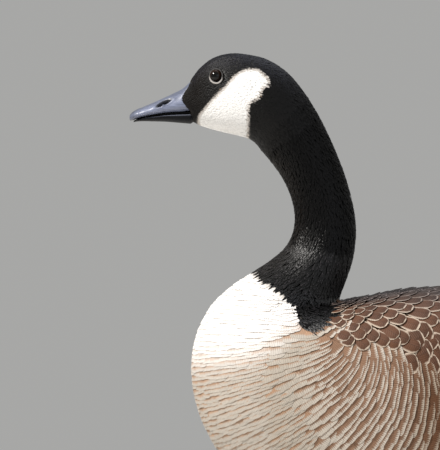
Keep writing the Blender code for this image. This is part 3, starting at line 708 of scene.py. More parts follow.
def join_parts(parts: list[tuple[Array, Array, Array]]) -> tuple[Array, Array, Array]:
    """Joins points, quads and triangles of several parts into one set.

    Args:
        parts: points, quads and triangles of each.

    Returns:
        Points, quads and triangles.
    """
    points, quads, tris, start = [], [], [], 0
    for part_points, part_quads, part_tris in parts:
        points.append(part_points)
        quads.append(np.asarray(part_quads, int).reshape(-1, 4) + start)
        tris.append(np.asarray(part_tris, int).reshape(-1, 3) + start)
        start += len(part_points)
    return np.concatenate(points), np.concatenate(quads), np.concatenate(tris)


def feed(tree: bpy.types.NodeTree, node: bpy.types.Node, links: dict) -> None:
    """Links sockets of a node, by name or number: each to a socket, or to a node's first output.

    Args:
        tree: the material's tree.
        node: the node.
        links: what feeds each socket.
    """
    for key, source in links.items():
        socket = source.outputs[0] if isinstance(source, bpy.types.Node) else source
        tree.links.new(socket, node.inputs[key])


def add_node(
    tree: bpy.types.NodeTree,
    kind: str,
    links: dict | None = None,
    values: dict | None = None,
    **settings: str,
) -> bpy.types.Node:
    """Adds one shader node with its links, values and settings.

    Args:
        tree: the material's tree.
        kind: the node's type name after ShaderNode.
        links: what feeds its sockets, by name or number: a socket, or a node for its first output.
        values: numbers or colours of its sockets, by name or number.
        settings: settings of the node itself.

    Returns:
        The node.
    """
    node = tree.nodes.new(f"ShaderNode{kind}")
    for key, value in settings.items():
        setattr(node, key, value)
    for key, value in (values or {}).items():
        node.inputs[key].default_value = value
    feed(tree, node, links or {})
    return node


def start_material(name: str, values: dict) -> tuple[bpy.types.Material, bpy.types.NodeTree, bpy.types.Node]:
    """A new material with its tree, and its shader with even values on the shader's own sockets.

    Args:
        name: the material's name.
        values: numbers or colours of the shader's sockets, by name.

    Returns:
        The material, its tree and its shader.
    """
    material = bpy.data.materials.new(name)
    material.use_nodes = True
    shader = material.node_tree.nodes["Principled BSDF"]
    for key, value in values.items():
        shader.inputs[key].default_value = value
    return material, material.node_tree, shader


@dataclass(frozen=True)
class Plume:
    """Feather keratin, grown as barbs either side of a shaft. It looks soft, with a fine grain of barbs.

    The colours come with each feather as attributes: tint at its root and middle, rim at its edge. Real
    barbs are 0.3 mm apart, which is too fine to show, so they are drawn coarser.
    """

    name: str
    roughness: float = 0.72
    specular: float = 0.25
    rim_soft: float = 0.09
    side_rim: float = 0.0
    band: float = 0.0
    barb_mm: float = 1.5
    barb_lean: float = 0.35
    barb_depth: float = 0.30
    mottle: float = 0.12
    wander: float = 0.10
    shaft: float = 0.0
    fray: float = 0.0
    cloud_mm: float = 3.846

    def make(self) -> bpy.types.Material:
        """Builds the material.

        Returns:
            The material.
        """
        even = {"Roughness": self.roughness, "Specular IOR Level": self.specular, "IOR": KERATIN_IOR}
        material, tree, shader = start_material(self.name, even)
        vane, cut, tint, rim = (
            add_node(tree, "Attribute", attribute_name=word) for word in ("vane", "cut", "tint", "rim")
        )
        spot = add_node(tree, "TexCoord").outputs["Object"]
        split = add_node(tree, "SeparateXYZ", {0: vane.outputs["Vector"]})
        sizes = add_node(tree, "SeparateXYZ", {0: cut.outputs["Vector"]})
        side = add_node(tree, "Math", {0: split}, operation="ABSOLUTE")
        coarse = {"Scale": 1 / (self.cloud_mm * MM), "Detail": 3.0}
        cloud = add_node(tree, "TexNoise", {0: spot}, coarse)
        # The rim's inner edge wanders by the cloud, as worn feather tips do.
        sway = {1: self.wander, 2: -self.wander / 2}
        drift = add_node(tree, "Math", {0: cloud}, sway, operation="MULTIPLY_ADD")
        along = add_node(tree, "Math", {0: split.outputs["Y"], 1: drift}, operation="ADD")
        # Barbs run slanting off the shaft: their phase is the way out less a part of the reach along.
        reach = add_node(tree, "Math", {0: split.outputs["Y"], 1: sizes.outputs["Y"]}, operation="MULTIPLY")
        out = add_node(tree, "Math", {0: side, 1: sizes}, operation="MULTIPLY")
        slant = add_node(tree, "Math", {0: reach, 2: out}, {1: -self.barb_lean}, operation="MULTIPLY_ADD")
        # The cloud shifts the phase, so that the barbs waver.
        pitch = {1: TURN / self.barb_mm}
        phase = add_node(tree, "Math", {0: slant, 2: cloud}, pitch, operation="MULTIPLY_ADD")
        barb = add_node(tree, "Math", {0: phase}, operation="SINE")
        frayed = add_node(tree, "Math", {0: barb, 2: along}, {1: self.fray}, operation="MULTIPLY_ADD")
        past = add_node(tree, "Math", {0: frayed, 1: sizes.outputs["Z"]}, operation="SUBTRACT")
        soft = {"interpolation_type": "SMOOTHSTEP"}
        tip = add_node(tree, "MapRange", {0: past}, {"From Min": 0.0, "From Max": self.rim_soft}, **soft)
        outer = {"From Min": 0.70, "From Max": 0.93, "To Max": self.side_rim}
        edge = add_node(tree, "MapRange", {0: side}, outer, **soft)
        border = add_node(tree, "Math", {0: tip, 1: edge}, operation="MAXIMUM")
        # A dark band lies just inside the pale rim.
        inner = {"From Min": -0.28, "From Max": -0.02, "To Max": self.band}
        band = add_node(tree, "MapRange", {0: past}, inner, **soft)
        low, high = 1.0 - self.mottle, 1.0 + self.mottle
        grain = add_node(tree, "MapRange", {0: barb}, {"From Min": -1.0, "To Min": low, "To Max": high})
        depth = add_node(tree, "Math", {0: band, 2: grain}, {1: -1.0}, operation="MULTIPLY_ADD")
        shade = add_node(tree, "VectorMath", {0: tint, "Scale": depth}, operation="SCALE")
        fringe = add_node(tree, "VectorMath", {0: rim, "Scale": grain}, operation="SCALE")
        colour = add_node(tree, "Mix", {"Factor": border, 6: shade, 7: fringe}, data_type="RGBA")
        # The shaft is a thin line down the middle, a little darker than the vane.
        line = {"From Min": 0.10, "From Max": 0.03, "To Min": 1.0, "To Max": 1.0 - self.shaft}
        quill = add_node(tree, "MapRange", {0: side}, line, **soft)
        lined = add_node(tree, "VectorMath", {0: colour.outputs[2], "Scale": quill}, operation="SCALE")
        bump = add_node(tree, "Bump", {"Height": barb}, {"Strength": self.barb_depth, "Distance": 0.2 * MM})
        feed(tree, shader, {"Base Color": lined, "Normal": bump})
        return material


@dataclass(frozen=True)
class Down:
    """Downy skin under the feathers: matt, coloured as the coat over it, with a soft uneven nap."""

    name: str = "downy_skin"
    nap_mm: float = 1.4286

    def make(self) -> bpy.types.Material:
        """Builds the material.

        Returns:
            The material.
        """
        material, tree, shader = start_material(self.name, {"Roughness": 0.9, "Specular IOR Level": 0.1})
        tint = add_node(tree, "Attribute", attribute_name="tint")
        spot = add_node(tree, "TexCoord").outputs["Object"]
        fine = {"Scale": 1 / (self.nap_mm * MM), "Detail": 4.0}
        nap = add_node(tree, "TexNoise", {0: spot}, fine)
        level = add_node(tree, "MapRange", {0: nap}, {"To Min": 0.72, "To Max": 1.08})
        shade = add_node(tree, "VectorMath", {0: tint, "Scale": level}, operation="SCALE")
        bump = add_node(tree, "Bump", {"Height": nap}, {"Strength": 0.6, "Distance": 0.6 * MM})
        feed(tree, shader, {"Base Color": shade, "Normal": bump})
        return material


@dataclass(frozen=True)
class Horn:
    """Bill or claw keratin, grown in layers. It has a satin gloss, fine streaks along it and small pits."""

    name: str
    dark: str
    pale: str
    roughness: float
    specular: float = 0.5
    streak_mm: float = 1.1
    pit_mm: float = 0.9
    stretch: tuple[float, float, float] = (0.12, 1.0, 1.0)

    def make(self) -> bpy.types.Material:
        """Builds the material.

        Returns:
            The material.
        """
        even = {"Specular IOR Level": self.specular, "IOR": KERATIN_IOR}
        material, tree, shader = start_material(self.name, even)
        spot = add_node(tree, "TexCoord").outputs["Object"]
        lie = add_node(tree, "Mapping", {0: spot}, {"Scale": self.stretch})
        fine = {"Scale": 1 / (self.streak_mm * MM), "Detail": 5.0, "Roughness": 0.6}
        streak = add_node(tree, "TexNoise", {0: lie}, fine)
        pits = add_node(tree, "TexVoronoi", {0: spot}, {"Scale": 1 / (self.pit_mm * MM)})
        pale = add_node(tree, "Attribute", attribute_name="pale").outputs["Fac"]
        ramp = add_node(tree, "MapRange", {0: streak}, {"From Min": 0.3, "From Max": 0.72, "To Min": 0.55})
        share = add_node(tree, "Math", {0: ramp, 1: pale}, operation="MULTIPLY")
        ends = {6: linear(self.dark), 7: linear(self.pale)}
        colour = add_node(tree, "Mix", {"Factor": share}, ends, data_type="RGBA")
        worn = {"To Min": self.roughness - 0.08, "To Max": self.roughness + 0.14}
        gloss = add_node(tree, "MapRange", {0: streak}, worn)
        height = add_node(tree, "Math", {0: pits, 2: streak}, {1: 0.35}, operation="MULTIPLY_ADD")
        bump = add_node(tree, "Bump", {"Height": height}, {"Strength": 0.25, "Distance": 0.3 * MM})
        feed(tree, shader, {"Base Color": colour.outputs[2], "Roughness": gloss, "Normal": bump})
        return material


@dataclass(frozen=True)
class Scales:
    """Leg skin, covered with small flat scales. It is dull black with greyer, drier edges to the scales."""

    name: str
    dark: str = "#151312"
    pale: str = "#45403c"
    scale_mm: float = 2.2
    wear_mm: float = 11.111

    def make(self) -> bpy.types.Material:
        """Builds the material.

        Returns:
            The material.
        """
        material, tree, shader = start_material(self.name, {"Roughness": 0.55})
        spot = add_node(tree, "TexCoord").outputs["Object"]
        size = {"Scale": 1 / (self.scale_mm * MM)}
        cells = add_node(tree, "TexVoronoi", {0: spot}, size, feature="DISTANCE_TO_EDGE")
        wear = add_node(tree, "TexNoise", {0: spot}, {"Scale": 1 / (self.wear_mm * MM), "Detail": 5.0})
        dome = add_node(tree, "MapRange", {0: cells}, {"From Max": 0.22}, interpolation_type="SMOOTHSTEP")
        patchy = {"From Min": 0.35, "From Max": 0.75, "To Min": 0.15, "To Max": 0.85}
        dry = add_node(tree, "MapRange", {0: wear}, patchy)
        share = add_node(tree, "Math", {0: dome, 1: dry}, operation="MULTIPLY")
        ends = {6: linear(self.dark), 7: linear(self.pale)}
        colour = add_node(tree, "Mix", {"Factor": share}, ends, data_type="RGBA")
        bump = add_node(tree, "Bump", {"Height": dome}, {"Strength": 0.7, "Distance": 0.5 * MM})
        feed(tree, shader, {"Base Color": colour.outputs[2], "Normal": bump})
        return material


@dataclass(frozen=True)
class Wet:
    """The eye's wet cornea over a dark brown iris. It is glassy, with rings of colour about the pupil."""

    name: str = "wet_eye"
    rings: tuple[tuple[float, str], ...] = (
        (0.0, "#040303"),
        (0.40, "#060404"),
        (0.45, "#1d110c"),
        (0.70, "#2b1a11"),
        (0.80, "#120b07"),
        (1.0, "#0a0706"),
    )

    def make(self) -> bpy.types.Material:
        """Builds the material.

        Returns:
            The material.
        """
        even = {"Roughness": 0.3, "Specular IOR Level": 0.0}
        glassy = {"Coat IOR": CORNEA_IOR, "Coat Weight": 1.0, "Coat Roughness": 0.02}
        material, tree, shader = start_material(self.name, {**even, **glassy})
        polar = add_node(tree, "Attribute", attribute_name="polar")
        ramp = add_node(tree, "ValToRGB", {0: polar.outputs["Fac"]})
        stops = ramp.color_ramp.elements
        while len(stops) < len(self.rings):
            stops.new(0.5)
        for stop, (place, code) in zip(stops, self.rings):
            stop.position = place
            stop.color = linear(code)
        feed(tree, shader, {"Base Color": ramp})
        return material


@dataclass(frozen=True)
class Lid:
    """Bare eyelid skin with tiny feathers at its edge: dark above, pale along the lower lid."""

    name: str = "eyelid_skin"
    dark: str = "#171310"
    pale: str = "#b9b4b0"
    bead_mm: float = 0.8

    def make(self) -> bpy.types.Material:
        """Builds the material.

        Returns:
            The material.
        """
        material, tree, shader = start_material(self.name, {"Roughness": 0.5})
        pale = add_node(tree, "Attribute", attribute_name="pale").outputs["Fac"]
        spot = add_node(tree, "TexCoord").outputs["Object"]
        beads = add_node(tree, "TexVoronoi", {0: spot}, {"Scale": 1 / (self.bead_mm * MM)})
        ends = {6: linear(self.dark), 7: linear(self.pale)}
        colour = add_node(tree, "Mix", {"Factor": pale}, ends, data_type="RGBA")
        bump = add_node(tree, "Bump", {"Height": beads}, {"Strength": 0.5, "Distance": 0.3 * MM})
        feed(tree, shader, {"Base Color": colour.outputs[2], "Normal": bump})
        return material


@dataclass(frozen=True)
class Paper:
    """Matt studio paper, pale and even, whose edge fades into the studio's air."""

    name: str = "studio_paper"
    colour: str = "#e2dfd9"
    fade_from: float = 1.1
    fade_to: float = 3.1
    fibre_mm: float = 8.333

    def make(self) -> bpy.types.Material:
        """Builds the material.

        Returns:
            The material.
        """
        even = {"Base Color": linear(self.colour), "Roughness": 0.95}
        material, tree, shader = start_material(self.name, even)
        spot = add_node(tree, "TexCoord").outputs["Object"]
        fibre = add_node(tree, "TexNoise", {0: spot}, {"Scale": 1 / (self.fibre_mm * MM), "Detail": 4.0})
        bump = add_node(tree, "Bump", {"Height": fibre}, {"Strength": 0.05, "Distance": 0.5 * MM})
        away = add_node(tree, "VectorMath", {0: spot}, operation="LENGTH").outputs["Value"]
        span = {"From Min": self.fade_from, "From Max": self.fade_to, "To Min": 1.0, "To Max": 0.0}
        fade = add_node(tree, "MapRange", {0: away}, span, interpolation_type="SMOOTHSTEP")
        feed(tree, shader, {"Normal": bump, "Alpha": fade})
        return material


def place_piece(
    name: str,
    mesh: bpy.types.Mesh,
    material: bpy.types.Material,
    stands_for: tuple[str, ...] = (),
) -> None:
    """Makes a piece of the mesh, gives it its material and ties it to the bird.

    Args:
        name: the piece's name.
        mesh: its mesh, in world places.
        material: its finish.
        stands_for: frame nodes that it replaces.
    """
    mesh.materials.append(material)
    piece = bpy.data.objects.new(name, mesh)
    bpy.context.scene.collection.objects.link(piece)
    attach(piece, "root")
    if stands_for:
        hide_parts(*stands_for)
    logging.info("%s: %d faces", name, len(mesh.polygons))


class Outline(Enum):
    """Outlines of feathers: shares along the shaft and the half width there as a share of the greatest."""

    HAIR = ((0.0, 0.40, 0.78, 1.0), (0.55, 1.0, 0.72, 0.10))
    TUFT = ((0.0, 0.45, 0.82, 1.0), (0.60, 1.0, 0.80, 0.20))
    BLUNT = ((0.0, 0.45, 0.80, 0.94, 1.0), (0.55, 1.0, 1.0, 0.84, 0.50))
    CONTOUR = ((0.0, 0.40, 0.74, 0.91, 1.0), (0.50, 0.95, 1.0, 0.76, 0.28))
    COVERT = ((0.0, 0.28, 0.60, 0.82, 0.94, 1.0), (0.40, 0.86, 1.0, 0.92, 0.62, 0.24))
    FLIGHT = ((0.0, 0.12, 0.35, 0.62, 0.84, 0.95, 1.0), (0.35, 0.72, 1.0, 1.0, 0.84, 0.52, 0.16))


@dataclass
class Roots:
    """Where feathers grow and how each differs: one number a feather in every array."""

    place: Array
    angle: Array
    size: Array
    turn: Array
    tint: Array
    rim: Array
    rim_start: Array | None = None
    tilt: Array | None = None

    def keep(self, chosen: Array) -> "Roots":
        """Only the chosen feathers."""
        parts = {name: value for name, value in vars(self).items() if value is not None}
        return Roots(**{name: value[chosen] for name, value in parts.items()})


@dataclass(frozen=True)
class Cut:
    """One kind of feather, in millimetres."""

    length: float
    half_width: float
    outline: Outline
    root_depth: float
    tip_lift: float
    crown: float
    columns: int = 3
    rise_power: float = 0.8
    rim_start: float = 0.8

    def blades(
        self, flow: Flow, ground: Field, roots: Roots, rng: np.random.Generator
    ) -> tuple[Array, Array]:
        """Lays feathers on a form.

        The shaft is followed step by step: each step goes its length the way the flow points, turned by
        the feather's own turn. Points lie out from it at right angles, and their height goes from the
        root's depth to the tip's lift, with the shaft standing over the edges as a parabola.

        Args:
            flow: the lie of the feathers and their surface.
            ground: height over it that the feathers lie at, in metres.
            roots: the feathers.
            rng: source of small differences.

        Returns:
            Points as feathers by rows by columns by 3, and the half widths in millimetres.
        """
        form = flow.form
        shares, widths = (np.array(part) for part in self.outline.value)
        across = np.linspace(-1, 1, self.columns)
        half = self.half_width * np.sqrt(roots.size)[:, None] * widths
        length = self.length * MM * roots.size
        place, angle = roots.place, roots.angle
        cos, sin = np.cos(roots.turn)[:, None], np.sin(roots.turn)[:, None]
        rows, steps = [], np.diff(shares, append=shares[-1])
        for i, step in enumerate(steps):
            way, normal = flow.way(place, angle), form.normal(place, angle)
            side = np.cross(way, normal)
            way, side = cos * way + sin * side, cos * side - sin * way
            by_place, by_angle = form.rates(place, angle, side)
            out = (half[:, i] * MM)[:, None] * across
            rows.append((place[:, None] + out * by_place[:, None], angle[:, None] + out * by_angle[:, None]))
            by_place, by_angle = form.rates(place, angle, way)
            place, angle = place + by_place * length * step, angle + by_angle * length * step
        place, angle = (np.stack(part, 1) for part in zip(*rows))
        rise = -self.root_depth + (self.root_depth + self.tip_lift) * shares**self.rise_power
        layer = rng.uniform(-0.12, 0.12, (len(length), 1, 1)) * self.root_depth
        height = rise[None, :, None] + layer * shares[None, :, None]
        height = height + self.crown * (1 - across**2) * (0.4 + 0.6 * widths)[None, :, None]
        if roots.tilt is not None:
            height = height + roots.tilt[:, None, None] * across * widths[None, :, None]
        return form.raised(place, angle, ground(place, angle) + height * MM), half

    def coat(
        self, name: str, flow: Flow, ground: Field, roots: Roots, rng: np.random.Generator
    ) -> bpy.types.Mesh:
        """Lays feathers on a form and joins them into one mesh.

        Args:
            name: the mesh's name.
            flow: the lie of the feathers and their surface.
            ground: height over it that the feathers lie at, in metres.
            roots: the feathers.
            rng: source of small differences.

        Returns:
            The mesh.
        """
        points, half = self.blades(flow, ground, roots, rng)
        return self.mesh(name, points, half, roots, len(flow.form.sections) - 1)

    def mesh(self, name: str, points: Array, half: Array, roots: Roots, rows: float) -> bpy.types.Mesh:
        """Joins feathers into one mesh with their attributes and map.

        Each feather is a thin closed blade: its upper face has a row of points across, and its lower
        face runs straight between the edges.

        Args:
            name: the mesh's name.
            points: feathers by rows by columns by 3.
            half: half widths in millimetres.
            roots: the feathers.
            rows: how many sections the form has, for the map.

        Returns:
            The mesh.
        """
        count, steps, columns = points.shape[:3]
        shares = np.array(self.outline.value[0])
        each = steps * columns
        start = (np.arange(count) * each)[:, None, None]
        fan = np.array([(0, i + 1, i) for i in range(1, columns - 1)])
        caps = np.concatenate([fan, fan[:, ::-1] + (steps - 1) * columns])
        quads = (grid_faces(steps, columns)[None] + start).reshape(-1, 4)
        tris = (caps[None] + start).reshape(-1, 3)
        mesh = build_mesh(name, points.reshape(-1, 3), quads, tris)
        across = np.broadcast_to(np.linspace(-1, 1, columns), (count, steps, columns))
        along = np.broadcast_to(shares[None, :, None], (count, steps, columns))
        store(mesh, "vane", "FLOAT_VECTOR", np.stack([across, along, np.zeros_like(along)], -1))
        wide = np.broadcast_to(half[:, :, None], (count, steps, columns))
        long = np.broadcast_to((self.length * roots.size)[:, None, None], (count, steps, columns))
        begin = np.full(count, self.rim_start) if roots.rim_start is None else roots.rim_start
        begin = np.broadcast_to(begin[:, None, None], (count, steps, columns))
        store(mesh, "cut", "FLOAT_VECTOR", np.stack([wide, long, begin], -1))
        store(mesh, "tint", "FLOAT_COLOR", np.repeat(roots.tint, each, axis=0))
        store(mesh, "rim", "FLOAT_COLOR", np.repeat(roots.rim, each, axis=0))
        middle_u = np.clip(np.mod(roots.angle, TURN) / TURN, 0.002, 0.998)[:, None, None]
        middle_v = np.clip(roots.place / rows, 0.002, 0.998)[:, None, None]
        spots = np.stack([middle_u + across * PATCH / 2, middle_v + (along - 0.5) * PATCH], -1)
        store_map(mesh, spots.reshape(-1, 2))
        return mesh


def lay_rows(
    flow: Flow,
    start: float,
    end: float,
    pitch: Callable[[Array], Array],
    spread: Callable[[Array], Array],
    guide_deg: float,
    rng: np.random.Generator,
    loose: float = 0.25,
    wave: float = 0.1,
) -> tuple[Array, Array, Array]:
    """Places feathers in staggered rows over a form.

    Rows are a pitch apart where they cross the guide angle. Along a row the feathers are evenly spread
    by length, half a step on from the last row's. Where rows run closer together, only every second,
    fourth or eighth goes on.

    Args:
        flow: the lie of the feathers and their surface.
        start: first rank.
        end: last rank.
        pitch: step between rows at a rank, in millimetres.
        spread: step along a row at a rank, in millimetres.
        guide_deg: angle where the pitch is measured.
        rng: source of small differences.
        loose: how far a feather strays, as a share of a step.
        wave: how far a row waves, as a share of the pitch.

    Returns:
        Places, angles and sizes.
    """
    form = flow.form
    found = []
    rank, row = start, 0
    ring = np.linspace(0, TURN, 181)
    guide = np.array([math.radians(guide_deg)])
    while rank < end:
        steep = float(flow.climb(np.nan_to_num(flow.line(rank, guide), nan=18.0), guide)[1][0])
        step = float(pitch(rank)) * MM * steep
        line = flow.line(rank, ring)
        fine = ~np.isnan(line)
        points = form.point(np.where(fine, line, 25.0), ring)
        pieces = np.linalg.norm(np.diff(points, axis=0), axis=1) * (fine[1:] & fine[:-1])
        lengths = np.concatenate([[0], np.cumsum(pieces)])
        count = int(lengths[-1] / (float(spread(rank)) * MM))
        if count > 3:
            spots = (np.arange(count) + 0.5 * (row % 2) + rng.uniform(-loose, loose, count)) / count
            far = np.mod(spots, 1.0) * lengths[-1]
            angle = np.interp(far, lengths, ring)
            place = np.interp(angle, ring[fine], line[fine])
            _, steep = flow.climb(place, angle)
            near = step / steep / (float(pitch(rank)) * MM)
            blur = rng.uniform(-0.05, 0.05, count)
            skip = 2 ** np.clip(np.ceil(np.log2(0.70 / near) + blur), 0, 4)
            kept = np.mod(row, skip) == 0
            drift = wave * np.sin(far / (11 * MM) + row * 1.9)
            drift = drift + 0.6 * wave * np.sin(far / (5.2 * MM) + row * 3.1)
            shift = (drift + rng.uniform(-loose, loose, count)) * near * skip * float(pitch(rank)) * MM
            way = flow.way(place, angle)
            by_place, by_angle = form.rates(place, angle, way)
            size = np.clip(near * skip, 0.5, 1.5) ** 0.6 * (1 + rng.uniform(-0.25, 0.25, count) * loose)
            found.append(np.stack([place + by_place * shift, angle + by_angle * shift, size])[:, kept])
        rank += step
        row += 1
    return tuple(np.concatenate(found, axis=1))


def shades(codes: dict[str, str]) -> dict[str, Array]:
    """Turns a palette of hex colours to linear ones."""
    return {name: linear(code) for name, code in codes.items()}


PALETTE = shades(
    {
        "black": "#060606",
        "black_rim": "#0b0a0b",
        "brown_black": "#120d09",
        # Painted sheen: lighter rims on some tips low on the neck.
        "painted_sheen_rim": "#2b282b",
        # Painted sheen: bluish grey rims on the crown.
        "crown_painted_sheen_rim": "#20202a",
        "cheek": "#f9f8f6",
        "cheek_rim": "#fdfcfb",
        "cheek_edge": "#8d7b69",
        "white": "#e9e4de",
        "white_rim": "#f3f0ee",
        "cream": "#ad8c73",
        "cream_rim": "#b3aa9e",
        "tan": "#8a6c58",
        "tan_rim": "#c6bdb2",
        "flank": "#553724",
        "flank_rim": "#a0917f",
        "mantle": "#4a3426",
        "mantle_rim": "#a8988a",
        # The nape's darker brown and grey rims, greyed by a painted sky reflection.
        "nape_mantle_sky_sheen": "#382d28",
        "nape_rim_sky_sheen": "#756a68",
        "scapular": "#5b3a26",
        "scapular_rim": "#c9b8a6",
        "covert": "#573d2a",
        "covert_rim": "#b5a28e",
        "tertial": "#49382c",
        "tertial_rim": "#9a8977",
        "secondary": "#3c2f26",
        "primary": "#1c1714",
        "primary_rim": "#4a3f37",
        "belly": "#b3a391",
        "belly_rim": "#ddd3c7",
        "vent": "#efebe5",
        "vent_rim": "#fbfaf7",
        "rump": "#15110e",
        "rump_rim": "#241e1a",
        "tail": "#0f0d0c",
        "tail_rim": "#2d2824",
        "thigh": "#8b7562",
        "thigh_rim": "#cdbfae",
    }
)


def body_marks(place: Array, angle: Array) -> tuple[Array, Array, Array]:
    """Tint, rim and warmth of the body's coat, in world sizes.

    The breast is white above and in front and turns cream, tan, then brown, behind and below. The belly
    is pale, and the vent is white.

    Args:
        place: section numbers.
        angle: radians.

    Returns:
        Two colours a spot, and how brown it is from 0 to 1.
    """
    point = BODY.point(place, angle) / MM
    x, z = point[..., 0], point[..., 2]
    colours = PALETTE
    # White ends along a line that runs from the front at z 318 up to the neck's foot.
    low = smooth_step(22, -34, z - 322 - 0.16 * (x + 270))
    back = smooth_step(-232, -96, x + 0.25 * (z - 300))
    warm = np.clip(low * (0.30 + 0.70 * back) + 0.30 * smooth_step(-225, -130, x), 0, 1)
    # Along the shoulder's line the coat is browner, with narrower edges.
    shoulder = smooth_step(30.0, 4.0, FAN.below(place, angle)) * smooth_step(-190, -158, x)
    warm = warm + 0.32 * shoulder
    tint = blend(colours["white"], colours["cream"], smooth_step(0.02, 0.34, warm))
    tint = blend(tint, colours["tan"], smooth_step(0.32, 0.80, warm))
    rim = blend(colours["white_rim"], colours["cream_rim"], smooth_step(0.05, 0.36, warm))
    rim = blend(rim, colours["tan_rim"], smooth_step(0.36, 0.85, warm))
    deep = smooth_step(-130, -70, x) * ease_round(130, 100, angle)
    for word, share in (
        ("flank", deep),
        ("belly", ease_round(112, 150, angle) * smooth_step(-190, -60, x)),
        ("vent", smooth_step(55, 105, x + 0.3 * (200 - z))),
        ("mantle", ease_round(64, 40, angle) * smooth_step(20.0, 21.5, place)),
        ("rump", ease_round(82, 62, angle) * smooth_step(31.0, 31.8, place)),
        ("vent", smooth_step(0.0, 0.5, 1.1 - np.abs(place - 34.7)) * smooth_step(33.0, 33.8, place)),
        ("black", smooth_step(-0.1, 0.1, inside(x, z, SOCK_OUTLINE)) * (place < 26)),
    ):
        tint, rim = blend(tint, colours[word], share), blend(rim, colours[f"{word}_rim"], share)
    return tint, rim, warm + 0.4 * deep


def cheek_share(place: Array, angle: Array) -> Array:
    """How white the head is at a spot, from the cheek's outline in side view."""
    point = BODY.point(place, angle) / MM
    return inside(point[..., 0], point[..., 2], CHEEK_OUTLINE)


def head_marks(place: Array, angle: Array) -> tuple[Array, Array]:
    """Tint and rim of the head and neck: black, browner in front, with the white cheek.

    The lores are brownish black, and the neck's front is painted browner as light on its lit front. The
    crown's rims carry a painted bluish sheen.

    Args:
        place: section numbers.
        angle: radians.

    Returns:
        Two colours a spot.
    """
    colours = PALETTE
    # The neck's front is painted browner, as light on its lit front; the lores are brownish black.
    front = ease_round(110, 170, angle) * smooth_step(8.5, 11, place)
    lores = 0.9 * smooth_step(3.4, 1.6, place)
    tint = blend(colours["black"], colours["brown_black"], np.maximum(front, lores))
    # Painted sheen: the crown's rims turn bluish grey, as light on the top of the head.
    top = ease_round(60, 25, angle) * smooth_step(9.0, 6.0, place)
    rim = blend(colours["black_rim"], colours["crown_painted_sheen_rim"], top)
    depth = cheek_share(place, angle)
    white = smooth_step(-0.8, 0.8, depth)
    edge = smooth_step(3.2, 0.6, depth)
    cheek = blend(colours["cheek"], colours["cheek_edge"], 0.6 * edge)
    return blend(tint, cheek, white), blend(rim, blend(colours["cheek_rim"], cheek, 0.8 * edge), white)


def feather_line(z: Array) -> Array:
    """Where the feathers end along the bill at a height: a sine lobe stands forward of a straight line."""
    share = np.clip((FEATHER_LINE_TOP - z) / (FEATHER_LINE_TOP - GAPE_Z), 0, 1)
    return FEATHER_LINE_X - FEATHER_LOBE * np.sin(math.pi * share**1.5) ** 1.3


def vary(colours: Array, rng: np.random.Generator, amount: float) -> Array:
    """Makes each feather's colour a little lighter or darker."""
    level = 1 + rng.uniform(-amount, amount, len(colours))
    return colours * np.stack([level, level, level, np.ones_like(level)], -1)


@dataclass
class Skin:
    """The body under the coat: one closed skin for head, neck, body and thighs."""

    rows: int = 260
    columns: int = 84
    first_place: float = 0.9
    last_place: float = 36.0
    # Depth of the coat over the skin by place, in millimetres.
    depth: tuple[tuple[float, float], ...] = (
        (0.0, 0.9), (3.0, 0.9), (8.0, 1.1), (12.0, 1.4), (18.0, 1.7),
        (22.0, 2.3), (30.0, 3.0), (34.0, 3.0), (36.0, 2.5),
    )
    down: Down = field(default_factory=Down)

    def inset(self, place: Array) -> Array:
        """How far the skin lies inside the coat's outer form, in metres."""
        table = np.array(self.depth)
        return np.interp(place, table[:, 0], table[:, 1]) * MM

    def build(self) -> None:
        """Makes the skin and ties it to the bird."""
        place = np.linspace(self.first_place, self.last_place, self.rows)[:, None]
        angle = (np.arange(self.columns) * TURN / self.columns)[None]
        place, angle = np.broadcast_arrays(place, angle)
        rings = BODY.raised(place, angle, -self.inset(place))
        tint = np.where((place < 18)[..., None], head_marks(place, angle)[0], body_marks(place, angle)[0])
        tint = tint * [0.8, 0.8, 0.8, 1.0]
        parts = [closed_grid(rings)]
        colours = [tint.reshape(-1, 4), tint[0, :1], tint[-1, :1]]
        spots = [np.stack([angle / TURN, place / (len(SECTIONS) - 1)], -1).reshape(-1, 2) * 0.99 + 0.004]
        spots += [np.array([[0.5, 0.004], [0.5, 0.996]])]
        for side in (-1.0, 1.0):
            form = Form(THIGH, side)
            thigh_place, thigh_angle = np.broadcast_arrays(np.linspace(0, 3, 30)[:, None], angle[:1])
            thigh = form.raised(thigh_place, thigh_angle, np.full(thigh_place.shape, -1.8 * MM))
            parts.append(closed_grid(thigh))
            size = parts[-1][0].shape[0]
            colours.append(np.tile(PALETTE["thigh"], (size, 1)))
            spots.append(np.tile([0.5, 0.5], (size, 1)))
        points, quads, tris = join_parts(parts)
        mesh = build_mesh("goose_skin", points, quads, tris)
        store(mesh, "tint", "FLOAT_COLOR", np.concatenate(colours))
        store_map(mesh, np.concatenate(spots))
        nodes = ("head", "neck_upper", "neck_middle", "neck_lower", "breast", "torso", "rump")
        place_piece(
            "goose_skin", mesh, self.down.make(), (*nodes, "thigh_left", "thigh_right")
        )


SPINE = Flow(BODY)
FAN = Fan(BODY)
SADDLE = Flow(CARRIER)


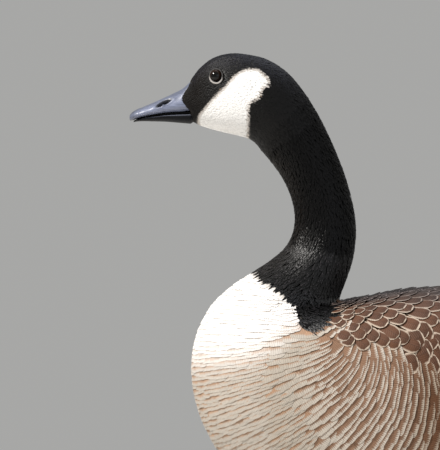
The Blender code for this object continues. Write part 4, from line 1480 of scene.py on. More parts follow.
@dataclass
class HeadCoat:
    """Short velvet feathers of the head, black with the white cheek, down to the upper neck."""

    cut: Cut = Cut(4.0, 0.80, Outline.TUFT, 0.75, 0.12, 0.16, rise_power=0.7)
    bare_eye: float = 5.9
    black: Plume = Plume("velvet_black_plume", 0.45, 0.18, mottle=0.20, barb_mm=1.0)
    white: Plume = Plume("white_cheek_plume", 0.85, 0.10, mottle=0.02, barb_mm=1.0, barb_depth=0.1)

    def build(self, rng: np.random.Generator) -> None:
        """Makes the coat in two pieces by colour.

        Args:
            rng: source of small differences.
        """
        small = lambda place: np.interp(place, [0.0, 2.0, 5.0, 9.0], [0.72, 0.82, 1.05, 1.5])
        place, angle, size = lay_rows(
            SPINE, 0.0, 9.2, small, small, guide_deg=100.0, rng=rng, loose=0.45, wave=0.0
        )
        size = size * np.interp(place, [0.0, 1.5, 5.0, 9.0], [0.52, 0.66, 0.95, 1.4])
        point = BODY.point(place, angle) / MM
        free = np.hypot(point[:, 0] - EYE_MIDDLE[0], point[:, 2] - EYE_MIDDLE[2]) > self.bare_eye
        behind = point[:, 0] > feather_line(point[:, 2])
        seen = SPINE.ahead(place, angle, 0.7 * self.cut.length * MM * size)
        tint, rim = head_marks(*seen)
        turn = rng.normal(0, 0.14, len(place))
        roots = Roots(place, angle, size, turn, vary(tint, rng, 0.05), vary(rim, rng, 0.05))
        ragged = cheek_share(*seen) + rng.normal(0, 0.35, len(place))
        for name, finish, chosen in (
            ("head_coat_black", self.black, ragged <= 0),
            ("head_coat_cheek", self.white, ragged > 0),
        ):
            part = roots.keep(chosen & free & behind)
            if name == "head_coat_cheek":
                part.tint = np.where(part.tint[:, :1] > 0.12, part.tint, PALETTE["cheek_edge"])
            mesh = self.cut.coat(name, SPINE, flat_ground, part, rng)
            place_piece(name, mesh, finish.make())


@dataclass
class NeckCoat:
    """Long soft black feathers of the neck, lying like hair, down to the ragged edge of the sock."""

    cut: Cut = Cut(8.5, 1.05, Outline.HAIR, 1.25, 0.3, 0.26, rise_power=0.7)
    black: Plume = Plume("silky_black_plume", 0.32, 0.13, mottle=0.20, barb_mm=1.3)
    ruffled: Plume = Plume("ruffled_black_plume", 0.40, 0.32, mottle=0.20, barb_mm=1.3)
    split_place: float = 15.4
    last_place: float = 24.6

    def build(self, rng: np.random.Generator) -> None:
        """Makes the coat in two lengths.

        Args:
            rng: source of small differences.
        """
        pitch = lambda place: np.interp(place, [8.5, 12.0, 20.0, 25.0], [1.9, 2.4, 2.7, 2.6])
        spread = lambda place: np.interp(place, [8.5, 12.0, 20.0, 25.0], [1.35, 1.6, 2.0, 2.0])
        place, angle, size = lay_rows(
            SPINE, 8.2, self.last_place, pitch, spread, guide_deg=90.0, rng=rng, loose=0.45, wave=0.1
        )
        size = size * np.interp(place, [8.2, 10.0, 14.0, 18.0], [0.6, 0.8, 1.0, 1.1])
        seen = SPINE.ahead(place, angle, 0.8 * self.cut.length * MM * size)
        point = BODY.point(*seen) / MM
        edge = inside(point[:, 0], point[:, 2], SOCK_OUTLINE)
        inner = edge > rng.normal(-1.0, 1.1, len(place))
        black = (inner | (place < 16.5)) & (cheek_share(*seen) < 0.0)
        tint, rim = head_marks(*seen)
        # Low on the neck some tips get a lighter rim: a painted sheen, as light caught on tousled feathers.
        ruffled = (rng.random(len(place)) < 0.45) & (place > self.split_place)
        rim = np.where(ruffled[:, None], PALETTE["painted_sheen_rim"], rim)
        turn = rng.normal(0, 0.09, len(place)) + 0.05 * np.sin(angle * 9)
        roots = Roots(place, angle, size, turn, vary(tint, rng, 0.35), vary(rim, rng, 0.35))
        for name, finish, chosen in (
            ("neck_coat_upper", self.black, place < self.split_place),
            ("neck_coat_lower", self.ruffled, place >= self.split_place),
        ):
            part = roots.keep(chosen & black)
            mesh = self.cut.coat(name, SPINE, coat_ground, part, rng)
            place_piece(name, mesh, finish.make())


@dataclass(frozen=True)
class Patch:
    """One length of the body's coat: its ranks, row pitch and spread in millimetres, feathers and finish."""

    name: str
    flow: Flow
    start: float
    end: float
    pitch: tuple[float, float]
    spread: tuple[float, float]
    guide_deg: float
    cut: Cut
    finish: Plume
    slot: str
    # Depths under the shoulder's line and the last x that the patch keeps to, in millimetres.
    depths: tuple[float, float] = (-1000.0, 1000.0)
    last_x: float = 1000.0
    colours: tuple[str, str] | None = None


BARRED = Plume("barred_contour_plume", 0.85, 0.10, 0.15, 0.0, 0.0, 1.5, 0.10, 0.40, 0.10, 0.07, fray=0.03)
SCALLOPED = Plume("scalloped_covert_plume", 0.62, 0.25, 0.05, 0.85, 0.25, 1.6, 0.8, 0.35, 0.08, 0.03, 0.2)
SOFT_WHITE = Plume("soft_white_plume", 0.88, 0.10, 0.10, 0.0, 0.0, 1.7, 0.15, 0.30, 0.03, 0.05)


@dataclass
class BodyCoat:
    """Contour feathers of breast, flanks, belly and vent, in wavy rows with pale fringed edges."""

    patches: tuple[Patch, ...] = (
        Patch(
            "collar_coat", SPINE, 16.4, 25.0, (3.4, 4.0), (4.2, 5.0), 150.0,
            Cut(11.0, 3.6, Outline.BLUNT, 1.3, 0.30, 0.20, 5),
            BARRED, "plumage_breast", (-1000.0, 8.0), -150.0,
        ),
        Patch(
            "breast_coat", FAN, 2.62, 4.15, (2.7, 4.9), (6.4, 8.4), 180.0,
            Cut(15.0, 7.2, Outline.BLUNT, 1.9, 0.40, 0.25, 5),
            BARRED, "plumage_breast", (4.5, 1000.0), 60.0,
        ),
        Patch(
            "flank_coat", FAN, 4.08, 5.9, (4.8, 9.0), (8.6, 13.0), 180.0,
            Cut(21.0, 8.8, Outline.BLUNT, 2.3, 0.55, 0.32, 5),
            BARRED, "plumage_brown", (4.5, 1000.0), 60.0,
        ),
        Patch(
            "shoulder_coat", FAN, 3.3, 5.6, (6.0, 8.0), (11.5, 13.0), 180.0,
            Cut(23.0, 9.5, Outline.COVERT, 1.9, 0.9, 0.45, 5),
            SCALLOPED, "plumage_wing", (-60.0, 5.0), 60.0,
            ("scapular", "scapular_rim"),
        ),
        Patch(
            "vent_coat", SPINE, 30.2, 36.3, (8.0, 9.5), (10.0, 10.0), 118.0,
            Cut(30.0, 9.0, Outline.BLUNT, 2.8, 0.7, 0.50, 5), SOFT_WHITE, "plumage_vent",
        ),
    )
    # Broad feathers with thin edges lie about the shoulder's line, deeper towards the wing.
    shoulder_deep: float = 5.0

    def build(self, rng: np.random.Generator) -> None:
        """Makes the coat from the breast to the tail.

        Args:
            rng: source of small differences.
        """
        for patch in self.patches:
            grow = lambda rank, ends: np.interp(rank, [patch.start, patch.end], ends)
            place, angle, size = lay_rows(
                patch.flow,
                patch.start,
                patch.end,
                lambda rank: grow(rank, patch.pitch),
                lambda rank: grow(rank, patch.spread),
                patch.guide_deg,
                rng,
                loose=0.07,
                wave=0.16,
            )
            length = patch.cut.length * MM * size
            seen = patch.flow.ahead(place, angle, 0.85 * length)
            under_wing = wing_shown(place, angle)
            point = BODY.point(*seen) / MM
            sock = inside(point[:, 0], point[:, 2], SOCK_OUTLINE) > rng.normal(-0.5, 0.5, len(place))
            sock &= place < 26
            mantle = (side_angle(angle) < math.radians(50)) & (place > 20.5) & (place < 31.3)
            kept = ~under_wing & ~sock & ~mantle
            below = FAN.below(place, angle)
            deep = self.shoulder_deep * smooth_step(-156, -84, BODY.point(place, angle)[:, 0] / MM)
            deepest = patch.depths[1] + (deep + rng.normal(0, 2.0, len(place)) if patch.colours else 0)
            kept &= (below > patch.depths[0]) & (below < deepest) & (point[:, 0] < patch.last_x)
            if patch.colours:
                root = BODY.point(place, angle) / MM
                kept &= np.maximum(root[:, 2], point[:, 2]) < FAN.foot[1] - 5
                kept &= root[:, 0] > FAN.foot[0] + 14
            tint, rim, warm = body_marks(*seen)
            turn = rng.normal(0, 0.06, len(place))
            # The rim's width goes with how much of the feather shows, and narrows where the coat is brown.
            shown = grow(patch.flow.rank(place, angle), patch.pitch) * size**0.67 / patch.cut.length
            front = smooth_step(-245, -268, point[:, 0])
            wide = 1.14 - 0.18 * front
            wide = wide - 0.54 * smooth_step(0.35, 0.95, warm) - 0.08 * smooth_step(1.0, 1.4, warm)
            begin = 1 - wide * shown + rng.normal(0, 0.012, len(place))
            if patch.colours:
                tint, rim = (np.tile(PALETTE[word], (len(place), 1)) for word in patch.colours)
                begin = np.full(len(place), 0.93) + rng.normal(0, 0.012, len(place))
            roots = Roots(place, angle, size, turn, vary(tint, rng, 0.10), vary(rim, rng, 0.04), begin)
            part = roots.keep(kept)
            mesh = patch.cut.coat(patch.name, patch.flow, coat_ground, part, rng)
            place_piece(patch.name, mesh, patch.finish.make())


@dataclass
class MantleCoat:
    """Scalloped feathers of the mantle and the front scapulars, brown with thin buff edges."""

    cut: Cut = Cut(17.0, 5.6, Outline.COVERT, 1.9, 1.2, 0.6, columns=5)
    rear_cut: Cut = Cut(32.0, 10.5, Outline.COVERT, 2.8, 1.2, 0.9, columns=5)
    vane: Plume = SCALLOPED
    rim_start: float = 0.935
    reach_down: float = 8.5
    reach_up: float = 26.0
    border_turn: float = 0.35

    def build(self, rng: np.random.Generator) -> None:
        """Makes the front and rear of the mantle.

        Args:
            rng: source of small differences.
        """
        material = self.vane.make()
        for name, start, end, pitch, spread, cut in (
            ("mantle_front_coat", 19.6, 27.2, (4.6, 9.5), (7.0, 10.5), self.cut),
            ("mantle_rear_coat", 27.0, 31.6, (10.5, 14.0), (13.5, 17.0), self.rear_cut),
        ):
            grow = lambda place, ends: np.interp(place, [start, end], ends)
            place, angle, size = lay_rows(
                SADDLE,
                start,
                end,
                lambda place: grow(place, pitch),
                lambda place: grow(place, spread),
                guide_deg=40.0,
                rng=rng,
                loose=0.14,
                wave=0.12,
            )
            if cut is self.cut:
                size = size * np.interp(place, [19.6, 22.0, 27.2], [0.62, 0.8, 1.25])
            seen = SADDLE.ahead(place, angle, 0.85 * cut.length * MM * size)
            _, lower, _ = wing_span(place)
            edge = np.minimum(np.degrees(lower), 60.0) - 2.0
            rise = self.reach_up * smooth_step(-165, -85, CARRIER.point(*seen)[:, 0] / MM)
            above = FAN.below(*seen) < self.reach_down - rise + rng.normal(0, 1.0, len(place))
            below = np.degrees(side_angle(angle)) < edge + rng.normal(0, 1.5, len(place))
            chosen = np.where(place < 28.4, above, below)
            low = side_angle(angle) >= math.radians(60)
            chosen &= (CARRIER.point(place, angle)[:, 0] > -168 * MM) | ~low
            point = CARRIER.point(*seen) / MM
            sock = inside(point[:, 0], point[:, 2], SOCK_OUTLINE) > rng.normal(0.5, 0.8, len(place))
            # Near the back's middle line: the nape's darker brown, greyed by a painted sky reflection.
            turned = ease_round(22, 52, angle)
            tint = blend(PALETTE["nape_mantle_sky_sheen"], PALETTE["scapular"], turned)
            rim = blend(PALETTE["nape_rim_sky_sheen"], PALETTE["scapular_rim"], turned)
            near = smooth_step(30.0, 4.0, np.abs(FAN.below(place, angle) - self.reach_down + self.reach_up))
            left = np.mod(angle, TURN) < math.pi
            turn = rng.normal(0, 0.10, len(place)) + self.border_turn * near * np.where(left, 1, -1)
            begin = self.rim_start + rng.normal(0, 0.015, len(place))
            roots = Roots(place, angle, size, turn, vary(tint, rng, 0.16), vary(rim, rng, 0.08), begin)
            roots = roots.keep(chosen & ~sock)
            mesh = cut.coat(name, SADDLE, coat_ground, roots, rng)
            place_piece(name, mesh, material)


@dataclass(frozen=True)
class Tier:
    """A row of wing feathers from its lowest to its highest. Lengths in millimetres, angles in degrees."""

    name: str
    count: int
    places: tuple[float, float]
    angles: tuple[float, float]
    lengths: tuple[float, float]
    turns: tuple[float, float]
    half_width: float
    root_depth: float
    tip_lift: float
    tilt: float
    tint: str
    rim: str
    outline: Outline = Outline.COVERT
    rim_start: float = 0.955


@dataclass
class WingCoat:
    """The folded wings: beds of the feathered arms, and every tier of feathers on both sides."""

    tiers: tuple[Tier, ...] = (
        Tier(
            "primary", 7, (31.3, 31.3), (80, 64), (168, 190), (-4.0, -4.5),
            9.5, 1.0, 0.4, 0.9, "primary", "primary_rim", Outline.FLIGHT,
        ),
        Tier(
            "secondary", 12, (30.3, 30.0), (98, 60), (134, 172), (-1.5, -2.0),
            11.0, 1.2, 1.4, 1.2, "secondary", "tertial_rim", Outline.FLIGHT,
        ),
        Tier(
            "tertial", 6, (28.8, 28.8), (57, 24), (178, 205), (1.0, 3.0),
            15.0, 1.4, 2.4, 1.4, "tertial", "tertial_rim", Outline.FLIGHT,
        ),
        Tier(
            "greater_covert", 15, (29.8, 29.4), (98, 52), (84, 92), (-1.0, -1.0),
            9.5, 1.2, 2.0, 1.1, "covert", "covert_rim",
        ),
        Tier(
            "median_covert", 16, (29.5, 29.05), (95, 50), (54, 58), (0.0, 0.0),
            8.0, 1.2, 2.2, 1.0, "covert", "covert_rim",
        ),
        Tier(
            "lesser_covert_3", 17, (29.3, 28.75), (93, 49), (40, 44), (1.0, 1.0),
            7.0, 1.2, 2.2, 0.8, "covert", "covert_rim",
        ),
        Tier(
            "lesser_covert_2", 17, (29.1, 28.45), (90, 49), (33, 38), (1.0, 1.0),
            6.5, 1.2, 2.1, 0.7, "covert", "covert_rim",
        ),
        Tier(
            "lesser_covert_1", 16, (28.9, 28.15), (86, 48), (29, 34), (1.0, 1.0),
            6.2, 1.2, 2.0, 0.6, "covert", "covert_rim",
        ),
        Tier(
            "rear_scapular_3", 9, (28.6, 28.6), (51, 15), (108, 118), (2.0, 3.0),
            11.5, 1.4, 3.0, 1.2, "scapular", "scapular_rim",
        ),
        Tier(
            "rear_scapular_2", 9, (28.0, 28.0), (51, 15), (82, 92), (2.0, 3.0),
            10.5, 1.4, 3.2, 1.2, "scapular", "scapular_rim",
        ),
        Tier(
            "rear_scapular_1", 9, (27.4, 27.4), (50, 15), (60, 68), (2.0, 3.0),
            9.5, 1.4, 3.2, 1.1, "scapular", "scapular_rim",
        ),
    )
    bed_rows: int = 60
    bed_columns: int = 24
    crown: float = 0.8
    covert: Plume = Plume(
        "edged_covert_plume", 0.62, 0.25, 0.05, 0.45, 0.20, 1.7, 0.9, 0.35, 0.08, 0.03, 0.25
    )
    flight: Plume = Plume(
        "stiff_flight_plume", 0.50, 0.35, 0.04, 0.5, 0.10, 1.9, 0.9, 0.35, 0.08, 0.02, 0.35
    )
    down: Down = Down("wing_down")

    def bed(self, side: float) -> tuple[Array, Array, Array]:
        """The feathered arm of one side as a plate over the carrier.

        The outer row is the carrier raised by the bed's height less a coat's depth, and the inner row
        lies 3 mm under the carrier. Both run from the upper to the lower edge.

        Args:
            side: -1 for left, 1 for right.

        Returns:
            Points, quads and triangles.
        """
        place = np.linspace(WING_BED[0][0] + 0.1, WING_BED[-1][0], self.bed_rows)[:, None]
        upper, lower, _ = wing_span(place)
        angle = upper + (lower - upper) * np.linspace(0.02, 0.98, self.bed_columns)
        place = np.broadcast_to(place, angle.shape)
        outer = CARRIER.raised(place, angle, np.maximum(wing_rise(place, angle) - 1.4 * MM, 0.2 * MM))
        inner = CARRIER.raised(place, angle, np.full(angle.shape, -3.0 * MM))
        rings = np.concatenate([outer, inner[:, ::-1]], axis=1)
        if side > 0:
            rings = (rings * [1, -1, 1])[:, ::-1]
        return closed_grid(rings)

    def build(self, rng: np.random.Generator) -> None:
        """Makes the beds and the tiers, both sides in one piece each.

        Args:
            rng: source of small differences.
        """
        points, quads, tris = join_parts([self.bed(-1.0), self.bed(1.0)])
        mesh = build_mesh("wing_beds", points, quads, tris)
        store(mesh, "tint", "FLOAT_COLOR", np.tile(PALETTE["covert"], (len(points), 1)))
        store_map(mesh, np.tile([0.5, 0.5], (len(points), 1)))
        place_piece("wing_beds", mesh, self.down.make(), ("wing_left", "wing_right"))
        covert, flight = self.covert.make(), self.flight.make()
        for tier in self.tiers:
            material = flight if tier.outline is Outline.FLIGHT else covert
            self.build_tier(tier, material, rng)

    def build_tier(self, tier: Tier, material: bpy.types.Material, rng: np.random.Generator) -> None:
        """Makes one tier on both sides.

        Args:
            tier: the tier.
            material: its finish.
            rng: source of small differences.
        """
        share = np.tile(np.linspace(0, 1, tier.count), 2)
        side = np.repeat([-1.0, 1.0], tier.count)
        run = lambda ends: ends[0] + (ends[1] - ends[0]) * share
        angle = np.radians(run(tier.angles))
        angle = angle + rng.uniform(-1, 1, len(angle)) * math.radians(0.7)
        mean = sum(tier.lengths) / 2
        length = run(tier.lengths) / mean
        size = length * rng.uniform(0.97, 1.03, len(length))
        turn = np.radians(run(tier.turns))
        left = side < 0
        tint = np.tile(PALETTE[tier.tint], (len(share), 1))
        rim = np.tile(PALETTE[tier.rim], (len(share), 1))
        # Near the back's middle line: the nape's darker brown, greyed by a painted sky reflection.
        turned = smooth_step(math.radians(14), math.radians(34), angle)
        tint, rim = blend(PALETTE["nape_mantle_sky_sheen"], tint, turned), blend(PALETTE["nape_rim_sky_sheen"], rim, turned)
        roots = Roots(
            run(tier.places) + rng.uniform(-0.04, 0.04, len(share)),
            np.where(left, angle, TURN - angle),
            size,
            np.where(left, turn, -turn),
            vary(tint, rng, 0.12),
            vary(rim, rng, 0.08),
            None,
            np.where(left, tier.tilt, -tier.tilt),
        )
        across = (tier.half_width, tier.outline, tier.root_depth, tier.tip_lift, self.crown)
        cut = Cut(mean, *across, columns=5, rise_power=0.7, rim_start=tier.rim_start)
        mesh = cut.coat(f"{tier.name}_feathers", SADDLE, wing_rise, roots, rng)
        place_piece(f"{tier.name}_feathers", mesh, material)


@dataclass
class TailCoat:
    """The fan of black tail feathers."""

    pairs: int = 9
    tip_x: float = 324.0
    root_x: float = 256.0
    root_z: float = 294.5
    fan_deg: float = 23.0
    root_spread: float = 19.0
    half_width: float = 11.5
    outer_share: float = 0.87
    step_down: float = 0.85
    droop_deg: float = 12.0
    vane: Plume = Plume("black_tail_plume", 0.48, 0.30, 0.05, 0.5, 0.0, 1.9, 0.9, 0.35, 0.10, 0.02, 0.3)

    def build(self, rng: np.random.Generator) -> None:
        """Makes the tail feathers: each is a flat blade along its own way, the middle pair on top.

        Args:
            rng: source of small differences.
        """
        shares, widths = (np.array(part) for part in Outline.FLIGHT.value)
        pair = np.repeat(np.arange(self.pairs), 2)
        side = np.tile([-1.0, 1.0], self.pairs)
        out = pair / (self.pairs - 1)
        turn = np.radians(self.fan_deg) * out * side
        droop = math.radians(self.droop_deg)
        length = (self.tip_x - self.root_x) * (1 + (self.outer_share - 1) * out**2)
        way = np.stack([np.cos(turn), np.sin(turn), np.full(len(turn), -math.tan(droop))], -1)
        root = np.stack(
            [
                np.full(len(turn), self.root_x),
                side * self.root_spread * (out + 0.08) * 0.8,
                self.root_z + 4.6 - pair * self.step_down - 0.4 * (side > 0),
            ],
            -1,
        )
        centre = root[:, None] + way[:, None] * (length[:, None] * shares)[..., None]
        up = np.array([math.sin(droop), 0.0, math.cos(droop)])
        across_way = unit(np.cross(up, way))
        across = np.linspace(-1, 1, 5)
        half = np.tile(self.half_width * widths, (len(turn), 1))
        reach = half[:, :, None, None] * across[:, None] * across_way[:, None, None]
        lift = (0.7 - 1.25 * across**2)[None, None, :, None] * up
        points = (centre[:, :, None] + reach + lift) * MM
        ones = np.ones(len(turn))
        roots = Roots(
            36.0 + 0 * ones,
            np.mod(0.3 * side * out, TURN),
            ones,
            turn,
            vary(np.tile(PALETTE["tail"], (len(turn), 1)), rng, 0.1),
            vary(np.tile(PALETTE["tail_rim"], (len(turn), 1)), rng, 0.1),
        )
        cut = Cut(float(length.mean()), self.half_width, Outline.FLIGHT, 0, 0, 0.7, 5, rim_start=0.95)
        mesh = cut.mesh("tail_feathers", points, half, roots, len(SECTIONS) - 1)
        place_piece("tail_feathers", mesh, self.vane.make(), ("tail",))


@dataclass
class Eyes:
    """Eyeballs with a slightly bulging cornea, and the ring of lids round each."""

    rings: int = 40
    columns: int = 56
    cornea: float = 0.5
    ball_out: float = 1.1
    lid_radii: tuple[float, float] = (5.15, 5.6)
    lid_thick: float = 0.72
    lid_over: float = 0.25
    wet: Wet = Wet()
    lid: Lid = Lid()

    def frame_of(self, side: float) -> tuple[Array, Array]:
        """The eye's middle in metres, and three ways: forward, up and out, as rows.

        Args:
            side: -1 for left, 1 for right.

        Returns:
            The middle, and the ways as rows.
        """
        middle = np.array([EYE_MIDDLE[0], side * EYE_MIDDLE[1], EYE_MIDDLE[2]]) * MM
        turn = math.radians(EYE_OUT_DEG)
        out = unit(np.array([-math.sin(turn), side * math.cos(turn), math.sin(turn) / 2]))
        ahead = unit(np.cross([0, 0, 1.0], out) * side)
        return middle + out * self.ball_out * MM, np.stack([ahead, np.cross(out, ahead) * side, out])

    def ball(self, side: float) -> bpy.types.Mesh:
        """An eyeball: a sphere about its way out, with a bump of cornea near that way.

        Args:
            side: -1 for left, 1 for right.

        Returns:
            The mesh, with each point's polar distance as an attribute.
        """
        middle, ways = self.frame_of(side)
        polar = np.linspace(0.02, math.pi - 0.02, self.rings)[:, None]
        turn = (np.arange(self.columns) * TURN / self.columns)[None]
        radius = EYE_RADIUS + self.cornea * np.exp(-((polar / 0.55) ** 2))
        local = np.stack(
            [
                radius * np.sin(polar) * np.cos(turn),
                radius * np.sin(polar) * np.sin(turn),
                radius * np.cos(polar) + 0 * turn,
            ],
            -1,
        )
        rings = middle + local @ ways * MM
        points, quads, tris = closed_grid(rings)
        mesh = outward(build_mesh("eyeball", points, quads, tris))
        level = np.concatenate([np.repeat(polar[:, 0], self.columns), [0.0, math.pi]]) / 1.15
        store(mesh, "polar", "FLOAT", np.clip(level, 0, 1))
        return mesh

    def lids(self, side: float) -> bpy.types.Mesh:
        """A ring of round section about the eye, longer than high, wrinkled by a fine wave.

        Args:
            side: -1 for left, 1 for right.

        Returns:
            The mesh, with how pale each point is as an attribute.
        """
        around = (np.arange(96) * TURN / 96)[:, None]
        section = (np.arange(14) * TURN / 14)[None]
        x = EYE_MIDDLE[0] - self.lid_radii[0] * np.cos(around[:, 0])
        z = EYE_MIDDLE[2] + self.lid_radii[1] * np.sin(around[:, 0])
        place, angle = spot_on(BODY, x * MM, z * MM, 3.0, math.radians(53))
        centre, normal = BODY.point(place, angle), BODY.normal(place, angle)
        outwards = unit(centre - centre.mean(0))
        outwards = unit(outwards - (outwards * normal).sum(-1, keepdims=True) * normal)
        thick = self.lid_thick * (1 + 0.07 * np.sin(around * 24)) * MM
        rings = centre[:, None] + (thick * np.cos(section))[..., None] * outwards[:, None]
        rings = rings + (thick * np.sin(section) + self.lid_over * MM)[..., None] * normal[:, None]
        if side > 0:
            rings = rings * [1, -1, 1]
        quads = grid_faces(96, 14)
        last = np.stack([np.arange(14), np.roll(np.arange(14), -1)], -1)
        wrap = np.stack([95 * 14 + last[:, 0], 95 * 14 + last[:, 1], last[:, 1], last[:, 0]], -1)
        mesh = outward(build_mesh("lids", rings.reshape(-1, 3), np.concatenate([quads, wrap]), []))
        below = smooth_step(-0.1, 0.8, -np.sin(around - 0.10)) * smooth_step(-0.3, 0.6, np.sin(section))
        store(mesh, "pale", "FLOAT", 0.85 * below)
        return mesh

    def build(self) -> None:
        """Makes both eyes and their lids."""
        wet, lid = self.wet.make(), self.lid.make()
        for side, word in ((-1.0, "left"), (1.0, "right")):
            place_piece(f"eyeball_{word}", self.ball(side), wet, (f"eye_{word}",))
            place_piece(f"eyelids_{word}", self.lids(side), lid)


def spot_on(form: Form, x: Array, z: Array, place: float, angle: float) -> tuple[Array, Array]:
    """Finds the places and angles of points of a form from their side view, by Newton's steps.

    Args:
        form: the surface.
        x: where they are along the bird, in metres.
        z: their heights, in metres.
        place: where the search starts.
        angle: where the search starts.

    Returns:
        Places and angles.
    """
    place, angle = np.full(x.shape, place), np.full(x.shape, angle)
    for _ in range(12):
        point = form.point(place, angle)
        along, around = form.slopes(place, angle)
        off_x, off_z = x - point[:, 0], z - point[:, 2]
        area = along[:, 0] * around[:, 2] - along[:, 2] * around[:, 0]
        place = place + (off_x * around[:, 2] - off_z * around[:, 0]) / area
        angle = angle + (off_z * along[:, 0] - off_x * along[:, 2]) / area
    return place, angle


def outward(mesh: bpy.types.Mesh) -> bpy.types.Mesh:
    """Turns a closed mesh's faces outwards if its volume comes out negative.

    Args:
        mesh: the mesh.

    Returns:
        The same mesh.
    """
    count = len(mesh.vertices)
    points = np.empty(count * 3)
    mesh.vertices.foreach_get("co", points)
    points = points.reshape(-1, 3)
    mesh.calc_loop_triangles()
    tris = np.empty(len(mesh.loop_triangles) * 3, np.int32)
    mesh.loop_triangles.foreach_get("vertices", tris)
    a, b, c = (points[tris.reshape(-1, 3)[:, k]] for k in range(3))
    if (a * np.cross(b, c)).sum() < 0:
        mesh.flip_normals()
    return mesh


@dataclass
class Bill:
    """The horn bill: upper half with nail and nostrils, lower half, the combs on their edges, the mouth."""

    rows: int = 170
    columns: int = 120
    nostril: tuple[float, float] = (-297.6, 515.0)
    nostril_half: tuple[float, float] = (6.2, 1.6)
    nostril_tilt_deg: float = 26.0
    nostril_depth: float = 5.0
    nostril_fold: float = 2.3
    tuck: float = 3.5
    nail_from: float = -316.5
    comb_mm: float = 1.7
    # Its pale end is a painted blue-grey sky sheen on the black horn.
    horn: Horn = Horn("bill_horn", "#0e0f12", "#8c94ae", 0.30)
    # A darker copy of the horn, as in shade, for the lower half and mouth; its pale is a painted highlight.
    shaded_horn: Horn = Horn("dark_bill_horn", "#060607", "#8b90a0", 0.50, 0.08)

    def half(self, name: str, table: tuple[tuple[float, ...], ...], upper: bool) -> bpy.types.Mesh:
        """One half of the bill on a fine grid.

        The sections run to the tip, so a height is taken from the surface. The upper half sinks inside
        each nostril's tilted oval, with a raised lip about it and a fold of skin at its lower edge. It
        rises at the nail, and has a groove above its edge. Along the edge of either half a wave makes the
        comb. How pale the horn is goes with each point, as painted light: the upper half's sides carry a
        painted blue-grey sky sheen, greyest there, with painted shade along its edges, at its top, in the
        nostrils and towards the tip, and a painted highlight on each nostril's fold. The lower half stays
        dark as in shade, with a painted highlight along the lamellae on its upper side.

        Args:
            name: mesh name.
            table: the half's sections.
            upper: whether it is the upper half.

        Returns:
            The mesh.
        """
        form = Form(table)
        place = np.linspace(0, len(table) - 1, self.rows)[:, None]
        angle = (np.arange(self.columns) * TURN / self.columns)[None]
        place, angle = np.broadcast_arrays(place, angle)
        point = form.point(place, angle) / MM
        x, z = point[..., 0], point[..., 2]
        share = (1 + np.cos(angle)) / 2
        height, pale = np.zeros(x.shape), np.full(x.shape, 0.12)
        if upper:
            tilt = math.radians(self.nostril_tilt_deg)
            dx, dz = x - self.nostril[0], z - self.nostril[1]
            long = (dx * math.cos(tilt) + dz * math.sin(tilt)) / self.nostril_half[0]
            high = (-dx * math.sin(tilt) + dz * math.cos(tilt)) / self.nostril_half[1]
            near = np.hypot(long, high)
            height -= self.nostril_depth * smooth_step(1.05, 0.30, near)
            height += 0.30 * np.exp(-(((near - 1.5) / 0.35) ** 2))
            nail = smooth_step(self.nail_from + 1.2, self.nail_from - 0.6, x + 1.4 * np.abs(np.sin(angle)))
            height += 0.28 * nail
            groove = np.exp(-(((share - 0.20) / 0.05) ** 2)) * smooth_step(7.0, 4.0, place)
            height -= 0.35 * groove
            edge = smooth_step(0.16, 0.03, share) * smooth_step(0.6, 1.6, place)
            # Painted sky sheen on the sides; painted shade on the lower edge, the top, the nostrils and the
            # tip.
            pale = 0.95 - 0.75 * smooth_step(0.14, 0.05, share) - 0.45 * smooth_step(0.72, 1.0, share)
            pale = pale * (1 - 0.9 * smooth_step(1.35, 0.95, near))
            pale = pale * (1 - 0.45 * smooth_step(5.0, 7.0, place))
            # The fold under each nostril is raised, and lightened as a painted highlight.
            fold = np.exp(-(((dx + 0.6) / 1.5) ** 2) - ((dz + 1.5) / 0.6) ** 2)
            height += self.nostril_fold * fold
            pale = pale + 0.9 * fold
        else:
            edge = smooth_step(0.80, 0.95, share) * smooth_step(0.6, 1.6, place)
            # A pale line along the lower half's upper side: its lamellae, lit as a painted highlight; the
            # rest stays dark as in shade.
            pale = 0.03 + 0.8 * np.exp(-(((share - 0.70) / 0.05) ** 2)) * smooth_step(6.0, 4.0, place)
        height -= self.tuck * smooth_step(0.0, 5.0, x - feather_line(z))
        comb = np.sin(x * TURN / self.comb_mm)
        height += 0.06 * edge * comb * smooth_step(-321.0, -316.0, x)
        pale = pale - 0.08 * edge * comb
        points, quads, tris = closed_grid(form.raised(place, angle, -height * MM))
        mesh = outward(build_mesh(name, points, quads, tris))
        store(mesh, "pale", "FLOAT", np.clip(np.concatenate([pale.ravel(), [0.1, 0.1]]), 0, 1))
        return mesh

    def mouth(self) -> bpy.types.Mesh:
        """A thin dark body between the halves, so that no light comes through the mouth's line.

        Returns:
            The mesh.
        """
        rows = [
            (-268.0, 509.4, -268.0, 505.6, 11.0, 0.5, 0.2),
            (-288.8, 508.8, -288.8, 505.8, 9.4, 0.5, 0.2),
            (-304.8, 507.2, -304.8, 504.0, 8.0, 0.5, 0.2),
            (-319.4, 503.9, -319.4, 501.7, 4.6, 0.5, 0.2),
        ]
        place, angle = np.broadcast_arrays(np.linspace(0, 3, 40)[:, None], (np.arange(24) * TURN / 24)[None])
        points, quads, tris = closed_grid(Form(tuple(rows)).point(place, angle))
        mesh = outward(build_mesh("mouth", points, quads, tris))
        store(mesh, "pale", "FLOAT", np.zeros(len(points)))
        return mesh

    def build(self) -> None:
        """Makes both halves and the mouth between them."""
        # The lower half and the mouth take the shaded copy of the horn.
        dark = self.shaded_horn.make()
        upper, lower = self.half("bill_upper", UPPER_BILL, True), self.half("bill_lower", LOWER_BILL, False)
        place_piece("bill_upper_horn", upper, self.horn.make(), ("bill_upper",))
        place_piece("bill_lower_horn", lower, dark, ("bill_lower",))
        place_piece("mouth_lining", self.mouth(), dark)


